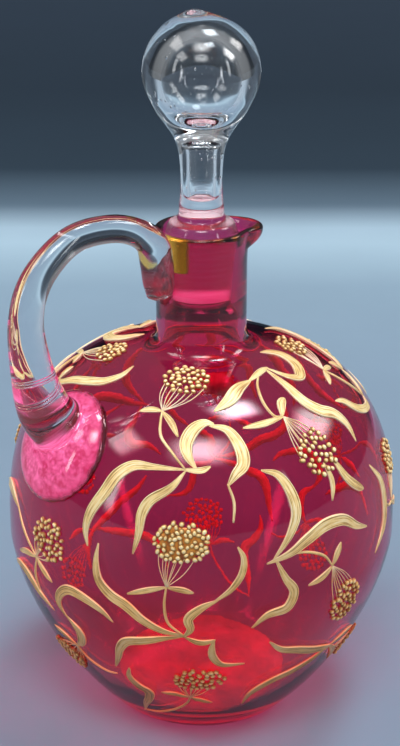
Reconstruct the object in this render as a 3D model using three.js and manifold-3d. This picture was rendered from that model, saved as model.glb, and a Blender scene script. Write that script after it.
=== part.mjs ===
// Decanter: a blown globe with a cylindrical neck, an applied loop handle, a hollow ball stopper on a ground
// plug, and sprays of raised enamel. Millimetres, +Z up. The origin is the middle of the foot, and the
// handle stands on -X.

import * as THREE from 'three';
import { mergeVertices } from 'three/addons/utils/BufferGeometryUtils.js';
import Module from 'manifold-3d';

const wasm = await Module();
wasm.setup();

// Driving dimensions

const gap = 0.3;

const globe = {
  radius: 64,
  equatorHeight: 62.4,
  crownHeight: 126.2,
  lowerPower: 1.52,
  upperPower: 2.63,
  wall: 2.8,
};

const foot = { radius: 32, heel: 1.2, innerRadius: 28.5, floor: 6.5, floorDip: 1.9, floorRound: 6 };

const neck = { radius: 14.5, rise: 38.1, lipWall: 2.65, lipRound: 0.9, fillet: 4, innerFillet: 3 };
const rim = globe.crownHeight + neck.rise;

const plug = { length: 21.2, taper: 0.1, shoulderDrop: 1.2, floorRoom: 1 };

const spout = { azimuth: -20, halfWidth: 46, reach: 6.2, droop: 2.2, depth: 12 };

// The stem widens towards the ball. Each flare point is [wider than the stem, below the ball's lower edge].
const stopper = {
  ballRadius: 18,
  ballLift: 48.9,
  crownFlat: 0.96,
  wall: 2.3,
  stemRadius: 6.75,
  stemFoot: 7.7,
  stemFootLift: 3.2,
  stemFlare: [[0.5, 18], [1.6, 10.8], [3, 8.2], [5.67, 4.7]],
  cavityRadius: 3.9,
  cavityFloorLift: 9,
  nubRadius: 2.6,
  nubLift: 1,
  ventRadius: 0.7,
};

// The rod's middle line on the handle's plane. Neck points are [out from the neck, up from the rim]. Outer
// points are [out from the middle of the pad, share of the height from the pad up to the rim]. The last
// number is the rod's radius there.
const handle = {
  padArc: 115.5,
  padRadius: 18.5,
  padThickness: 7.5,
  padSink: 1.5,
  neckPoints: [
    [0.2, -21.5, 1.6],
    [0.8, -15, 4.6],
    [1.8, -8, 5.5],
    [4.6, -1.8, 5],
    [10, 2.6, 4.4],
    [19, 5.6, 4.3],
  ],
  outerPoints: [
    [-7, 1.084, 4.35],
    [3.6, 0.963, 4.7],
    [8.4, 0.84, 5.05],
    [10.2, 0.697, 5.35],
    [9.8, 0.562, 5.9],
    [8.6, 0.428, 6.6],
    [7, 0.31, 7.5],
    [4.2, 0.192, 8.5],
    [-2, 0.057, 9],
  ],
};

const enamel = {
  frontAzimuth: -127,
  edgeWidth: 0.8,
  leafHeight: 1,
  headHeight: 1.9,
  headLobes: 7,
  headWave: 0.05,
  stalkWidth: 3.4,
  drawnRadius: 64,
  drawnSide: 158.23,
};

// Each spray is painted on the globe from a list of strokes. A place is [degrees to the right of the band's
// middle, millimetres up the globe's side from the foot]. A leaf or stem is [widest, path]. They are drawn
// for a globe of drawnRadius whose side is drawnSide long, and they stretch with the real one.
const sprays = {
  upper: {
    strokes: [
      [3.8, [[-5, 117], [-16, 117], [-22, 116.5], [-26.5, 113],
        [-29.5, 107], [-33, 100], [-34, 94], [-33, 89]]],
      [3.2, [[-5, 116.5], [-9, 111.5], [-15, 107], [-17, 103], [-17.5, 97], [-19, 90]]],
      [4.2, [[-1.5, 117.2], [-4.4, 121], [-5.4, 125], [-3.2, 129.4], [1, 131.8], [5, 131.6]]],
      [4, [[2.6, 131.2], [10, 129], [13.5, 123], [13.5, 118], [10.5, 115], [8, 112]]],
      [1.2, [[8, 112.6], [9.5, 107], [9, 101]]],
      [1.2, [[-5, 117], [-10, 122], [-15, 127], [-16.5, 132], [-17, 135.3]]],
      [1.9, [[-17, 135.3], [-22, 135.2], [-27, 134]]],
      [1.9, [[-17, 135.3], [-12, 131.5], [-8.5, 127]]],
      [1.8, [[-6, 117], [0, 116.8], [3, 118]]],
    ],
    heads: [{ at: [-9.7, 149.4], size: [8.4, 7.4], node: [-17, 135.3] }],
  },
  lower: {
    strokes: [
      [3.4, [[-5, 63.5], [-10, 64.5], [-16, 68], [-21, 72.5],
        [-25.5, 75], [-29, 79], [-30, 85], [-29.5, 91]]],
      [3.2, [[-5, 63], [-11, 61.5], [-16.5, 59.5], [-22, 57.5], [-24.5, 54], [-26.5, 48], [-29, 42]]],
      [2.8, [[-5, 62.6], [-3, 66], [-3.5, 70], [0, 74], [4.5, 76.5]]],
      [2, [[3.2, 75.8], [8, 80], [11, 85], [11.5, 90], [10, 93.5]]],
      [1.2, [[-5, 63.5], [-9, 68], [-10, 74], [-9.5, 80.5]]],
      [1.7, [[-9.5, 80.5], [-13, 79.5], [-17, 78], [-20.5, 76.5]]],
      [1.7, [[-9.5, 80.5], [-5, 80], [-2, 79]]],
      [1.9, [[-4.5, 62.6], [0, 60.6], [4, 61.5]]],
      [2.4, [[3.6, 61.6], [3, 57.8], [3.4, 54], [6, 50], [13.3, 49]]],
    ],
    heads: [{ at: [-5.4, 95], size: [9.2, 7.2], node: [-9.5, 80.5] }],
  },
  right_shoulder: {
    strokes: [
      [4.4, [[5.5, 136], [13, 139.5], [20, 144], [31, 147]]],
      [2.2, [[29, 146.6], [41, 149], [50.5, 149.8]]],
      [4.2, [[47, 149.8], [47, 141], [48, 133], [52, 128], [57.5, 124.6], [60, 119.6], [60, 113.5]]],
      [3.8, [[49, 149.8], [54, 143], [59, 140.6], [64, 142],
        [71, 146], [74, 151], [71, 154.6], [67, 156.5]]],
      [1.3, [[38.5, 148.4], [31.7, 143.5], [29, 137], [30.5, 131.5], [34, 130.6]]],
      [2.1, [[34.5, 130.6], [24, 129.6], [16, 129.4]]],
      [2.8, [[33.5, 130.4], [37, 135], [40.5, 136.5]]],
      [2.8, [[45, 115], [48.5, 106], [53, 101], [55.5, 99.4]]],
      [1.6, [[41.5, 113], [42.4, 107], [41, 101]]],
    ],
    heads: [{ at: [40.7, 116.5], size: [7.6, 7.8], node: [34, 130.6] }],
  },
  right_middle: {
    strokes: [
      [3.4, [[19, 115.6], [24, 113.4], [27.3, 107], [27.8, 101], [25, 94.6], [20, 88]]],
      [4, [[18, 87], [25, 89], [30.6, 92], [37.3, 94.6], [44, 93.8], [49.6, 89.6], [54.7, 87]]],
      [1.2, [[25, 88.8], [30.6, 87.8], [36.2, 84.6], [39, 80.3]]],
      [1.8, [[39, 80.3], [35, 77.8], [30.6, 76.5]]],
      [2, [[39, 80.3], [40.7, 84], [42.5, 87]]],
      [3.2, [[20.5, 88.2], [23.5, 81], [26, 76], [24, 71], [18.3, 69.6], [14, 65.3]]],
    ],
    heads: [{ at: [45, 65.3], size: [7, 8], node: [39, 80.3] }],
  },
  left_middle: {
    strokes: [
      [1.8, [[-54, 76.5], [-60, 75.5], [-65.6, 73]]],
      [1.8, [[-54, 76.5], [-50, 73.5], [-46.6, 71]]],
      [1.2, [[-54, 76.5], [-54.8, 70], [-54, 63]]],
      [3.2, [[-76, 63], [-65.6, 67.8], [-60, 67], [-54.4, 63], [-49, 58.5]]],
      [1.2, [[-54, 76.5], [-61, 82], [-66.7, 87.8]]],
      [3.2, [[-66, 87.4], [-73.5, 90], [-80, 89.6], [-86, 86]]],
    ],
    heads: [{ at: [-47.7, 85.3], size: [8.5, 7.5], node: [-54, 76.5] }],
  },
  left_low: {
    strokes: [
      [3.2, [[-25.3, 64.6], [-28.7, 68.4], [-34.3, 71], [-40, 71.5],
        [-43.8, 68], [-44.9, 63.4], [-42.5, 58]]],
      [3.4, [[-43, 59.5], [-39.2, 55], [-40, 49.5], [-43.8, 45.3]]],
      [1.3, [[-43.8, 45.6], [-41, 40.3], [-34.3, 37], [-29.8, 37.5]]],
      [1.8, [[-43.8, 45.3], [-49, 48.5], [-54, 49]]],
    ],
    heads: [{ at: [-53, 36], size: [8, 6.6], node: [-43.8, 45.3] }],
  },
  bottom: {
    strokes: [
      [3.2, [[-23.7, 43.4], [-24.8, 38.4], [-22.5, 33.4],
        [-19.5, 30.5], [-20.3, 25.9], [-23.7, 19.6], [-27, 12.8]]],
      [1.2, [[-4, 29.6], [-5.2, 25.9], [-9.7, 20.3], [-18.6, 14.6], [-27.5, 12.4]]],
      [1.7, [[-4, 29.6], [-9.7, 31.8], [-14.5, 31.3]]],
      [1.7, [[-4, 29.6], [-0.7, 28.4], [4.3, 25.6]]],
    ],
    heads: [{ at: [-0.7, 41.3], size: [8.7, 6.8], node: [-4, 29.6] }],
  },
  right_low: {
    strokes: [
      [3, [[20, 57.8], [24, 53.4], [30.6, 50.3], [37.3, 47], [45, 44], [48.5, 42.6]]],
      [3, [[16.6, 22], [18.3, 30], [24, 35.3], [33, 38.4], [40.7, 41.5], [47, 44]]],
      [2.4, [[47, 43.6], [52, 38], [55, 31]]],
      [1.7, [[47, 43.6], [54, 46], [60, 45]]],
    ],
    heads: [{ at: [66, 34], size: [7.4, 6.6], node: [52, 40] }],
  },
  crown: {
    strokes: [
      [3, [[64, 127.4], [67.5, 125.8], [72, 121], [77.6, 118], [84, 117], [88, 119.4]]],
      [1.3, [[79.5, 136], [81.5, 130], [84.5, 124], [87.5, 118.6]]],
      [1.9, [[79.5, 136], [75, 134], [71, 132]]],
      [1.9, [[79.2, 136], [84, 134.9], [88, 133.6]]],
      [1.5, [[87, 118.8], [91, 123], [95, 128.8]]],
      [2.2, [[95, 128], [93.4, 131.6], [92.4, 134]]],
      [3.4, [[94, 127.8], [100, 129], [106.5, 133], [116.6, 136.8],
        [124.5, 139.8], [129, 144.5], [127.3, 150]]],
    ],
    heads: [{ at: [95, 147.6], size: [6.8, 6], node: [79.5, 136] }],
  },
  right_edge: {
    strokes: [
      [3.2, [[62, 104.5], [66.4, 97], [67, 88.4], [65.3, 82], [59.5, 75]]],
      [1.2, [[67, 90], [71, 86], [76, 85]]],
      [1.8, [[75.5, 85], [80, 82.5], [85, 82]]],
    ],
    heads: [{ at: [79, 99.6], size: [7, 7], node: [75.5, 85] }],
  },
};

// The spray that fills the shoulder under the spout, where the other side has the handle's pad.
const spoutSpray = {
  strokes: [
    [1.2, [[-58, 98], [-55.5, 104], [-54, 110]]],
    [1.8, [[-53.6, 109.8], [-59, 110.5], [-63, 109.5]]],
    [1.8, [[-54.4, 110.2], [-50, 108.5], [-47, 109]]],
    [3.6, [[-58, 98], [-64, 102], [-70, 106.5], [-74, 113.5], [-73, 121]]],
    [3.4, [[-58, 98], [-50, 98.6], [-44, 102], [-40, 109], [-40.5, 117]]],
  ],
  heads: [{ at: [-52, 122], size: [8, 7], node: [-54, 110] }],
};

// Materials

const glass = { roughness: 0.05, metalness: 0 };
const cranberryGlass = new THREE.MeshStandardMaterial({ ...glass, color: 0x8e1238 });
const clearGlass = new THREE.MeshStandardMaterial({ ...glass, color: 0xc3ced6 });
const giltEnamel = new THREE.MeshStandardMaterial({ color: 0xd8c58e, roughness: 0.5, metalness: 0.1 });

// Shared helpers

function toSolid(geometry) {
  const bare = geometry.clone();
  bare.deleteAttribute('normal');
  bare.deleteAttribute('uv');
  const merged = mergeVertices(bare, 1e-4);
  const vertProperties = new Float32Array(merged.attributes.position.array);
  const triVerts = new Uint32Array(merged.index.array);
  return new wasm.Manifold(new wasm.Mesh({ numProp: 3, vertProperties, triVerts }));
}

function toGeometry(solid) {
  const mesh = solid.getMesh();
  const geometry = new THREE.BufferGeometry();
  geometry.setAttribute('position', new THREE.BufferAttribute(new Float32Array(mesh.vertProperties), 3));
  geometry.setIndex(new THREE.BufferAttribute(new Uint32Array(mesh.triVerts), 1));
  geometry.computeVertexNormals();
  return geometry;
}

// Moves every vertex of a geometry to where place(vertex) puts it.
function bend(geometry, place) {
  const position = geometry.attributes.position;
  const vertex = new THREE.Vector3();
  for (let i = 0; i < position.count; i += 1) {
    place(vertex.fromBufferAttribute(position, i));
    position.setXYZ(i, vertex.x, vertex.y, vertex.z);
  }
  return geometry;
}

function lathe(profile, segments) {
  return new THREE.LatheGeometry(profile, segments).rotateX(Math.PI / 2);
}

function spaced(points, count) {
  return new THREE.SplineCurve(points).getSpacedPoints(count);
}

function point(x, y) {
  return new THREE.Vector2(x, y);
}

// The globe's side is two quarter superellipses that meet at the equator.

function superellipseRadius(radius, share, power) {
  return radius * (1 - Math.min(share, 1) ** power) ** (1 / power);
}

// How far below the equator the lower curve would close, if it passes the given radius at the given drop.
function lowerDepth(radius, throughRadius, drop) {
  const power = globe.lowerPower;
  return drop / (1 - (throughRadius / radius) ** power) ** (1 / power);
}

function sidePoint(inset, innerEdge, z) {
  const radius = globe.radius - inset;
  if (z < globe.equatorHeight) {
    const depth = lowerDepth(radius, innerEdge.radius, globe.equatorHeight - innerEdge.height);
    return point(superellipseRadius(radius, (globe.equatorHeight - z) / depth, globe.lowerPower), z);
  }
  const rise = globe.crownHeight - inset - globe.equatorHeight;
  return point(superellipseRadius(radius, (z - globe.equatorHeight) / rise, globe.upperPower), z);
}

// The side from its lower edge up to where it meets the given radius near the crown.
function sideCurve(inset, edge, topRadius) {
  const rise = globe.crownHeight - inset - globe.equatorHeight;
  const share = (1 - (topRadius / (globe.radius - inset)) ** globe.upperPower) ** (1 / globe.upperPower);
  const top = globe.equatorHeight + rise * share;
  const points = [];
  const steps = 60;
  for (let i = 0; i <= steps; i += 1) {
    const t = Math.sin((i / steps) * (Math.PI / 2));
    points.push(sidePoint(inset, edge, edge.height + (top - edge.height) * t));
  }
  return points;
}

const outerEdge = { radius: foot.radius, height: 0 };
const innerEdge = { radius: foot.innerRadius, height: foot.floor };
const outerSide = sideCurve(0, outerEdge, neck.radius + neck.fillet);
const boreRadius = neck.radius - neck.lipWall - plug.taper * plug.length;
const innerSide = sideCurve(globe.wall, innerEdge, boreRadius + neck.innerFillet);

// Vessel

// A quarter round between a nearly level shoulder and a vertical neck.
function shoulderRound(shoulder, radius, height) {
  const corner = point(radius, shoulder.y);
  const end = point(radius, shoulder.y + height);
  return new THREE.QuadraticBezierCurve(shoulder, corner, end).getPoints(4).slice(1);
}

function outerProfile(grow = 0) {
  const shoulder = outerSide[outerSide.length - 1];
  const side = spaced(outerSide, 24).slice(1);
  const profile = [
    point(0, 0),
    point(foot.radius - foot.heel, 0),
    point(foot.radius + foot.heel * 0.35, foot.heel * 0.55),
    ...side,
    ...shoulderRound(shoulder, neck.radius, neck.fillet),
    point(neck.radius, rim - spout.depth),
    point(neck.radius, rim - spout.depth * 0.7),
    point(neck.radius, rim - spout.depth * 0.4),
    point(neck.radius, rim - spout.depth * 0.2),
    point(neck.radius, rim - neck.lipRound),
  ];
  if (!grow) {
    return profile;
  }
  // The grown profile follows the side at a constant distance and closes well above the rim.
  const overshoot = 8;
  const grown = profile.slice(1).map((here, i, all) => {
    const before = all[Math.max(i - 1, 0)];
    const after = all[Math.min(i + 1, all.length - 1)];
    const along = point(after.x - before.x, after.y - before.y).normalize();
    return point(here.x + along.y * grow, here.y - along.x * grow);
  });
  const top = rim + overshoot;
  return [point(0, grown[0].y), ...grown, point(neck.radius + grow, top), point(0, top)];
}

function pullSpout(vertex) {
  const start = rim - spout.depth;
  const radius = Math.hypot(vertex.x, vertex.y);
  if (vertex.z <= start) {
    return;
  }
  const azimuth = Math.atan2(vertex.y, vertex.x);
  const middle = THREE.MathUtils.degToRad(spout.azimuth);
  const turn = Math.atan2(Math.sin(azimuth - middle), Math.cos(azimuth - middle));
  const half = THREE.MathUtils.degToRad(spout.halfWidth);
  if (Math.abs(turn) >= half) {
    return;
  }
  const across = Math.cos((turn / half) * (Math.PI / 2)) ** 1.6;
  const up = (vertex.z - start) / spout.depth;
  const pulled = radius + spout.reach * across * up ** 2.4;
  const drooped = vertex.z - spout.droop * across * up ** 3;
  vertex.set(Math.cos(azimuth) * pulled, Math.sin(azimuth) * pulled, drooped);
}

function makeVessel() {
  const seatTop = neck.radius - neck.lipWall;
  const seatFloor = rim - plug.shoulderDrop - plug.length - plug.floorRoom;
  const innerShoulder = innerSide[innerSide.length - 1];
  const inside = [
    point(neck.radius - neck.lipRound * 0.6, rim - neck.lipRound * 0.15),
    point(seatTop + neck.lipRound * 0.6, rim),
    point(seatTop, rim - neck.lipRound),
  ];
  for (const share of [0.2, 0.4, 0.7, 1]) {
    const z = rim - spout.depth * share;
    inside.push(point(seatTop - plug.taper * (rim - z), z));
  }
  inside.push(point(boreRadius, seatFloor));
  inside.push(...shoulderRound(innerShoulder, boreRadius, neck.innerFillet).reverse());
  inside.push(...spaced(innerSide, 18).reverse());
  const edge = innerSide[0];
  inside.push(point(edge.x - foot.floorRound * 0.45, edge.y - foot.floorDip * 0.7));
  inside.push(point(edge.x - foot.floorRound * 1.6, edge.y - foot.floorDip));
  inside.push(point(0, foot.floor - foot.floorDip / 2));
  const segments = 32;
  const blown = lathe([...outerProfile(), ...inside], segments);
  return bend(blown, pullSpout);
}

// Stopper

// A point on the ball's outline. The upper half is a little flatter than a true sphere.
function onBall(radius, centre, degrees) {
  const angle = THREE.MathUtils.degToRad(degrees);
  const rise = degrees > 0 ? radius * stopper.crownFlat : radius;
  return point(radius * Math.cos(angle), centre + rise * Math.sin(angle));
}

function makeStopper() {
  const top = neck.radius - neck.lipWall - gap;
  const shoulder = rim - plug.shoulderDrop;
  const centre = rim + stopper.ballLift;
  const ball = stopper.ballRadius;
  const crown = centre + ball * stopper.crownFlat;
  const stemFoot = rim + stopper.stemFootLift;
  const joint = centre - ball * 0.5;
  const sphere = [];
  for (let degrees = -30; degrees <= 80; degrees += 11) {
    sphere.push(onBall(ball, centre, degrees));
  }
  const stem = [
    point(stopper.stemFoot, stemFoot),
    point(stopper.stemRadius + 0.4, stemFoot + 3.5),
    point(stopper.stemRadius, stemFoot + 10),
    ...stopper.stemFlare.map(([wider, below]) => point(stopper.stemRadius + wider, joint - below)),
    sphere[0],
  ];
  const nub = [
    point(stopper.nubRadius, crown - 0.1),
    point(stopper.nubRadius * 0.7, crown + stopper.nubLift * 0.8),
    point(stopper.ventRadius, crown + stopper.nubLift),
  ];
  const inner = ball - stopper.wall;
  const cavity = [point(stopper.ventRadius, centre + inner * stopper.crownFlat)];
  for (let degrees = 70; degrees >= -40; degrees -= 22) {
    cavity.push(onBall(inner, centre, degrees));
  }
  const throat = centre - ball * 1.02;
  const cavityFloor = rim + stopper.cavityFloorLift;
  cavity.push(point(stopper.cavityRadius + 1.6, throat + 1));
  cavity.push(point(stopper.cavityRadius, throat - 4));
  cavity.push(point(stopper.cavityRadius, cavityFloor + stopper.cavityRadius));
  cavity.push(point(stopper.cavityRadius * 0.7, cavityFloor + stopper.cavityRadius * 0.3));
  cavity.push(point(0, cavityFloor));
  const profile = [
    point(0, shoulder - plug.length),
    point(top - plug.taper * plug.length, shoulder - plug.length),
    point(top - plug.taper * plug.length * 0.5, shoulder - plug.length * 0.5),
    point(top - plug.taper * plug.shoulderDrop, shoulder),
    point((top + stopper.stemFoot) / 2 + 0.6, rim + stopper.stemFootLift * 0.5),
    ...spaced(stem, 12),
    ...sphere.slice(1),
    ...nub,
    ...cavity,
  ];
  return lathe(profile, 26);
}

// Handle

// A rod along a line in the XZ plane, with the radius that each of its points gives.
function bentRod(points, sides, steps) {
  const middles = points.map(([x, z]) => new THREE.Vector3(x, 0, z));
  const line = new THREE.CatmullRomCurve3(middles, false, 'centripetal');
  const thickness = new THREE.CatmullRomCurve3(points.map(([, , r], i) => new THREE.Vector3(i, r, 0)));
  const side = new THREE.Vector3(0, 1, 0);
  return bend(new THREE.CylinderGeometry(1, 1, 1, sides, steps), (vertex) => {
    const t = vertex.y + 0.5;
    const radius = thickness.getPoint(t).y;
    const along = line.getTangent(t);
    const out = new THREE.Vector3().crossVectors(side, along);
    const middle = line.getPoint(t);
    const { x, z } = vertex;
    vertex.copy(middle).addScaledVector(side, x * radius).addScaledVector(out, z * radius);
  });
}

function makeHandle() {
  const pad = onGlobe(180, handle.padArc, 0);
  const normal = globeNormal(180, handle.padArc);
  const height = rim - pad.z;
  const points = [
    ...handle.neckPoints.map(([out, up, r]) => [-(neck.radius + out), rim + up, r]),
    ...handle.outerPoints.map(([out, share, r]) => [pad.x - out, pad.z + share * height, r]),
  ];
  const rod = toSolid(bentRod(points, 12, 28));
  const blob = new THREE.SphereGeometry(1, 16, 8);
  blob.scale(handle.padThickness, handle.padRadius, handle.padRadius);
  blob.rotateY(Math.atan2(normal.z, -normal.x));
  const seat = pad.clone().addScaledVector(normal, -handle.padSink);
  blob.translate(seat.x, seat.y, seat.z);
  const keepOut = toSolid(lathe(outerProfile(gap), 36));
  return toGeometry(rod.add(toSolid(blob)).subtract(keepOut));
}

// Enamel

// The outer side with the arc length from the foot at each of its points.
const meridian = outerSide.reduce((table, here) => {
  const last = table[table.length - 1];
  const arc = last ? last.arc + last.here.distanceTo(here) : 0;
  return [...table, { here, arc }];
}, []);

const stretch = meridian[meridian.length - 1].arc / enamel.drawnSide;
const enamelScale = Math.min(stretch, globe.radius / enamel.drawnRadius);

function sideAt(drawnArc) {
  const arc = drawnArc * stretch;
  const next = meridian.findIndex((row) => row.arc > arc);
  const i = next < 0 ? meridian.length - 1 : Math.max(next, 1);
  const [low, high] = [meridian[i - 1], meridian[i]];
  const share = (arc - low.arc) / (high.arc - low.arc);
  const along = high.here.clone().sub(low.here).normalize();
  return { here: low.here.clone().lerp(high.here, share), normal: point(along.y, -along.x) };
}

function onGlobe(azimuth, arc, lift) {
  const { here, normal } = sideAt(arc);
  const radius = here.x + normal.x * lift;
  const angle = THREE.MathUtils.degToRad(azimuth);
  return new THREE.Vector3(Math.cos(angle) * radius, Math.sin(angle) * radius, here.y + normal.y * lift);
}

function globeNormal(azimuth, arc) {
  return onGlobe(azimuth, arc, 1).sub(onGlobe(azimuth, arc, 0));
}

// A place on the band moved to the right and up the side, by millimetres as drawn.
function shifted([degrees, arc], right, up) {
  const drawnArc = arc + (up * enamelScale) / stretch;
  const radius = sideAt(drawnArc).here.x;
  return [degrees + THREE.MathUtils.radToDeg((right * enamelScale) / radius), drawnArc];
}

// A low ridge of paste along a path, with the width that widthAt gives along it.
function ridge(path, widthAt, steps, middle) {
  const places = path.map(([degrees, arc]) => new THREE.Vector3(degrees, arc, 0));
  const curve = new THREE.CatmullRomCurve3(places, false, 'centripetal');
  const apex = Math.sqrt(3) / 2;
  return bend(new THREE.CylinderGeometry(1, 1, 1, 3, steps), (vertex) => {
    const t = vertex.y + 0.5;
    const here = curve.getPoint(t);
    const along = curve.getTangent(t);
    const radius = sideAt(here.y).here.x;
    const flat = point(THREE.MathUtils.degToRad(along.x) * radius, along.y * stretch).normalize();
    const across = (vertex.x / apex) * (widthAt(t) / 2);
    const height = ((vertex.z + 0.5) / 1.5) * enamel.leafHeight;
    const [degrees, arc] = shifted([here.x, here.y], flat.y * across, -flat.x * across);
    vertex.copy(onGlobe(middle + degrees, arc, gap + height));
  });
}

function stroke([widest, path], middle) {
  const swell = widest - enamel.edgeWidth;
  const steps = Math.max(3, path.length - 1);
  return ridge(path, (t) => enamel.edgeWidth + swell * Math.sin(Math.PI * t), steps, middle);
}

// The fan of fine stalks between a stem's node and the flower head, as one low wedge.
function stalks({ at, node }, middle) {
  return ridge([node, at], (t) => enamel.edgeWidth + enamel.stalkWidth * t, 2, middle);
}

// A flower head, as a low dome with a wavy edge.
function head({ at, size }, middle) {
  const [halfWidth, halfHeight] = size;
  const profile = [point(0, 0), point(1, 0), point(0.94, 0.6), point(0.5, 1), point(0, 1)];
  return bend(new THREE.LatheGeometry(profile, enamel.headLobes * 2), (vertex) => {
    const wave = 1 + enamel.headWave * Math.cos(enamel.headLobes * Math.atan2(vertex.z, vertex.x));
    const [degrees, arc] = shifted(at, vertex.x * halfWidth * wave, -vertex.z * halfHeight * wave);
    vertex.copy(onGlobe(middle + degrees, arc, gap + vertex.y * enamel.headHeight));
  });
}

function makeSpray({ strokes, heads }, middle) {
  const pieces = [
    ...strokes.map((one) => stroke(one, middle)),
    ...heads.map((one) => stalks(one, middle)),
    ...heads.map((one) => head(one, middle)),
  ];
  return toGeometry(pieces.map(toSolid).reduce((all, one) => all.add(one)));
}

// Assembly

const decanter = new THREE.Group();

function place(name, geometry, material, parent = decanter) {
  const mesh = new THREE.Mesh(geometry, material);
  mesh.name = name;
  parent.add(mesh);
  return mesh;
}

place('vessel', makeVessel(), cranberryGlass);
place('handle', makeHandle(), clearGlass);
place('stopper', makeStopper(), clearGlass);

const decoration = new THREE.Group();
decanter.add(decoration);
const bands = { front: enamel.frontAzimuth, back: enamel.frontAzimuth + 180 };
for (const [side, middle] of Object.entries(bands)) {
  for (const [name, spray] of Object.entries(sprays)) {
    place(`spray_${side}_${name}`, makeSpray(spray, middle), giltEnamel, decoration);
  }
}
place('spray_under_spout', makeSpray(spoutSpray, bands.back), giltEnamel, decoration);

export default decanter;
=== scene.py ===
import math
import random

import bmesh
import bpy
import numpy as np
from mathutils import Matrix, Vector


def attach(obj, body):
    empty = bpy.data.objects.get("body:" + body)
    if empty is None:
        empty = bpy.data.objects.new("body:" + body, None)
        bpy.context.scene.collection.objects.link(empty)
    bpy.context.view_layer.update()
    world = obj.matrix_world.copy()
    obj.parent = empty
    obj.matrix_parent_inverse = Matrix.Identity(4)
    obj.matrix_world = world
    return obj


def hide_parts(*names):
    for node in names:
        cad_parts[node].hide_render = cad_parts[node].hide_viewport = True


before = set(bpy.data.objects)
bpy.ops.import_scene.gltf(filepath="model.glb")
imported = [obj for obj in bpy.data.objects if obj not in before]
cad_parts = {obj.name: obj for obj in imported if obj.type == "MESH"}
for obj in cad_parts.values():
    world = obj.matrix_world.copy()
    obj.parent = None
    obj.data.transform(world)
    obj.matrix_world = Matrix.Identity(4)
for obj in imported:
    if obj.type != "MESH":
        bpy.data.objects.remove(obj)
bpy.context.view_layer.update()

mm = 0.001  # lengths are in millimetres until a mesh or a node takes them
print("frame loaded:", len(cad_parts), "nodes")


# camera

cameraSet = {
    "fromAxis": 480,  # how far it stands from the decanter's axis
    "height": 318,
    "azimuth": -127,
    "pitch": 22.975,  # degrees down
    "turn": 0.0535,  # degrees off the axis
    "lens": 77.545,
    "sensor": 36,
}


def makeCamera():
    around = math.radians(cameraSet["azimuth"])
    away = cameraSet["fromAxis"] * mm
    data = bpy.data.cameras.new("photoCamera")
    data.lens = cameraSet["lens"]
    data.sensor_width = cameraSet["sensor"]
    data.clip_start = 10 * mm
    camera = bpy.data.objects.new("photoCamera", data)
    camera.location = (away * math.cos(around), away * math.sin(around), cameraSet["height"] * mm)
    heading = cameraSet["azimuth"] + 180 + cameraSet["turn"]
    camera.rotation_euler = (math.radians(90 - cameraSet["pitch"]), 0, math.radians(heading - 90))
    bpy.context.scene.collection.objects.link(camera)
    bpy.context.scene.camera = camera


makeCamera()
bpy.context.scene.view_settings.view_transform = "Standard"
print("camera set")


# small tools for node trees: an input is given a socket to link or a value

def feed(tree, socket, value):
    if isinstance(value, bpy.types.NodeSocket):
        tree.links.new(value, socket)
    elif socket.type == "RGBA" and len(value) == 3:
        socket.default_value = (*value, 1)
    else:
        socket.default_value = value


def addNode(tree, kind, settings=None, **inputs):
    node = tree.nodes.new("ShaderNode" + kind)
    count = len(tree.nodes)
    node.location = (200 * (count % 8), -300 * (count // 8))
    for key, value in (settings or {}).items():
        setattr(node, key, value)
    for key, value in inputs.items():
        feed(tree, node.inputs[key.replace("_", " ")], value)
    return node


def calc(tree, operation, *values):
    node = addNode(tree, "Math", {"operation": operation})
    for socket, value in zip(node.inputs, values):
        feed(tree, socket, value)
    return node.outputs["Value"]


def calcVector(tree, operation, *values):
    node = addNode(tree, "VectorMath", {"operation": operation})
    for socket, value in zip(node.inputs, values):
        feed(tree, socket, value)
    return node.outputs["Value" if operation in ("DOT_PRODUCT", "LENGTH") else "Vector"]


def mapRange(tree, value, low, high, kind="LINEAR"):
    return addNode(
        tree, "MapRange", {"interpolation_type": kind}, Value=value, From_Min=low, From_Max=high,
    ).outputs["Result"]


def mixTone(tree, share, first, second, blend="MIX"):
    node = addNode(tree, "Mix", {"data_type": "RGBA", "blend_type": blend})
    for place, value in ((0, share), (6, first), (7, second)):
        feed(tree, node.inputs[place], value)
    return node.outputs[2]


def ramp(tree, factor, stops, smooth=False):
    node = addNode(tree, "ValToRGB", Fac=factor)
    node.color_ramp.interpolation = "EASE" if smooth else "LINEAR"
    elements = node.color_ramp.elements
    while len(elements) < len(stops):
        elements.new(0.5)
    for element, (at, tone) in zip(elements, stops):
        element.position = at
        element.color = (*tone, 1) if isinstance(tone, tuple) else (tone, tone, tone, 1)
    return node.outputs["Color"]


def noise(tree, place, scale, detail=2.0, roughness=0.5, distortion=0.0):
    return addNode(
        tree, "TexNoise", Vector=place, Scale=scale, Detail=detail, Roughness=roughness,
        Distortion=distortion,
    ).outputs["Fac"]


def objectPlace(tree):
    return addNode(tree, "TexCoord").outputs["Object"]


def uvPlace(tree, name):
    return addNode(tree, "UVMap", {"uv_map": name}).outputs["UV"]


def apart(tree, vector):
    return addNode(tree, "SeparateXYZ", Vector=vector).outputs


# the distance from the upright axis
def fromAxis(tree, place):
    return calcVector(tree, "LENGTH", calcVector(tree, "MULTIPLY", place, (1, 1, 0)))


def bump(tree, height, strength, distance):
    return addNode(tree, "Bump", Height=height, Strength=strength, Distance=distance).outputs["Normal"]


def principled(tree, **inputs):
    return addNode(tree, "BsdfPrincipled", **inputs).outputs["BSDF"]


# the usual end of a material
def finishMaterial(tree, **inputs):
    addNode(tree, "OutputMaterial", Surface=principled(tree, **inputs))


def newMaterial(name):
    material = bpy.data.materials.new(name)
    material.use_nodes = True
    material.node_tree.nodes.clear()
    return material, material.node_tree


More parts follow.
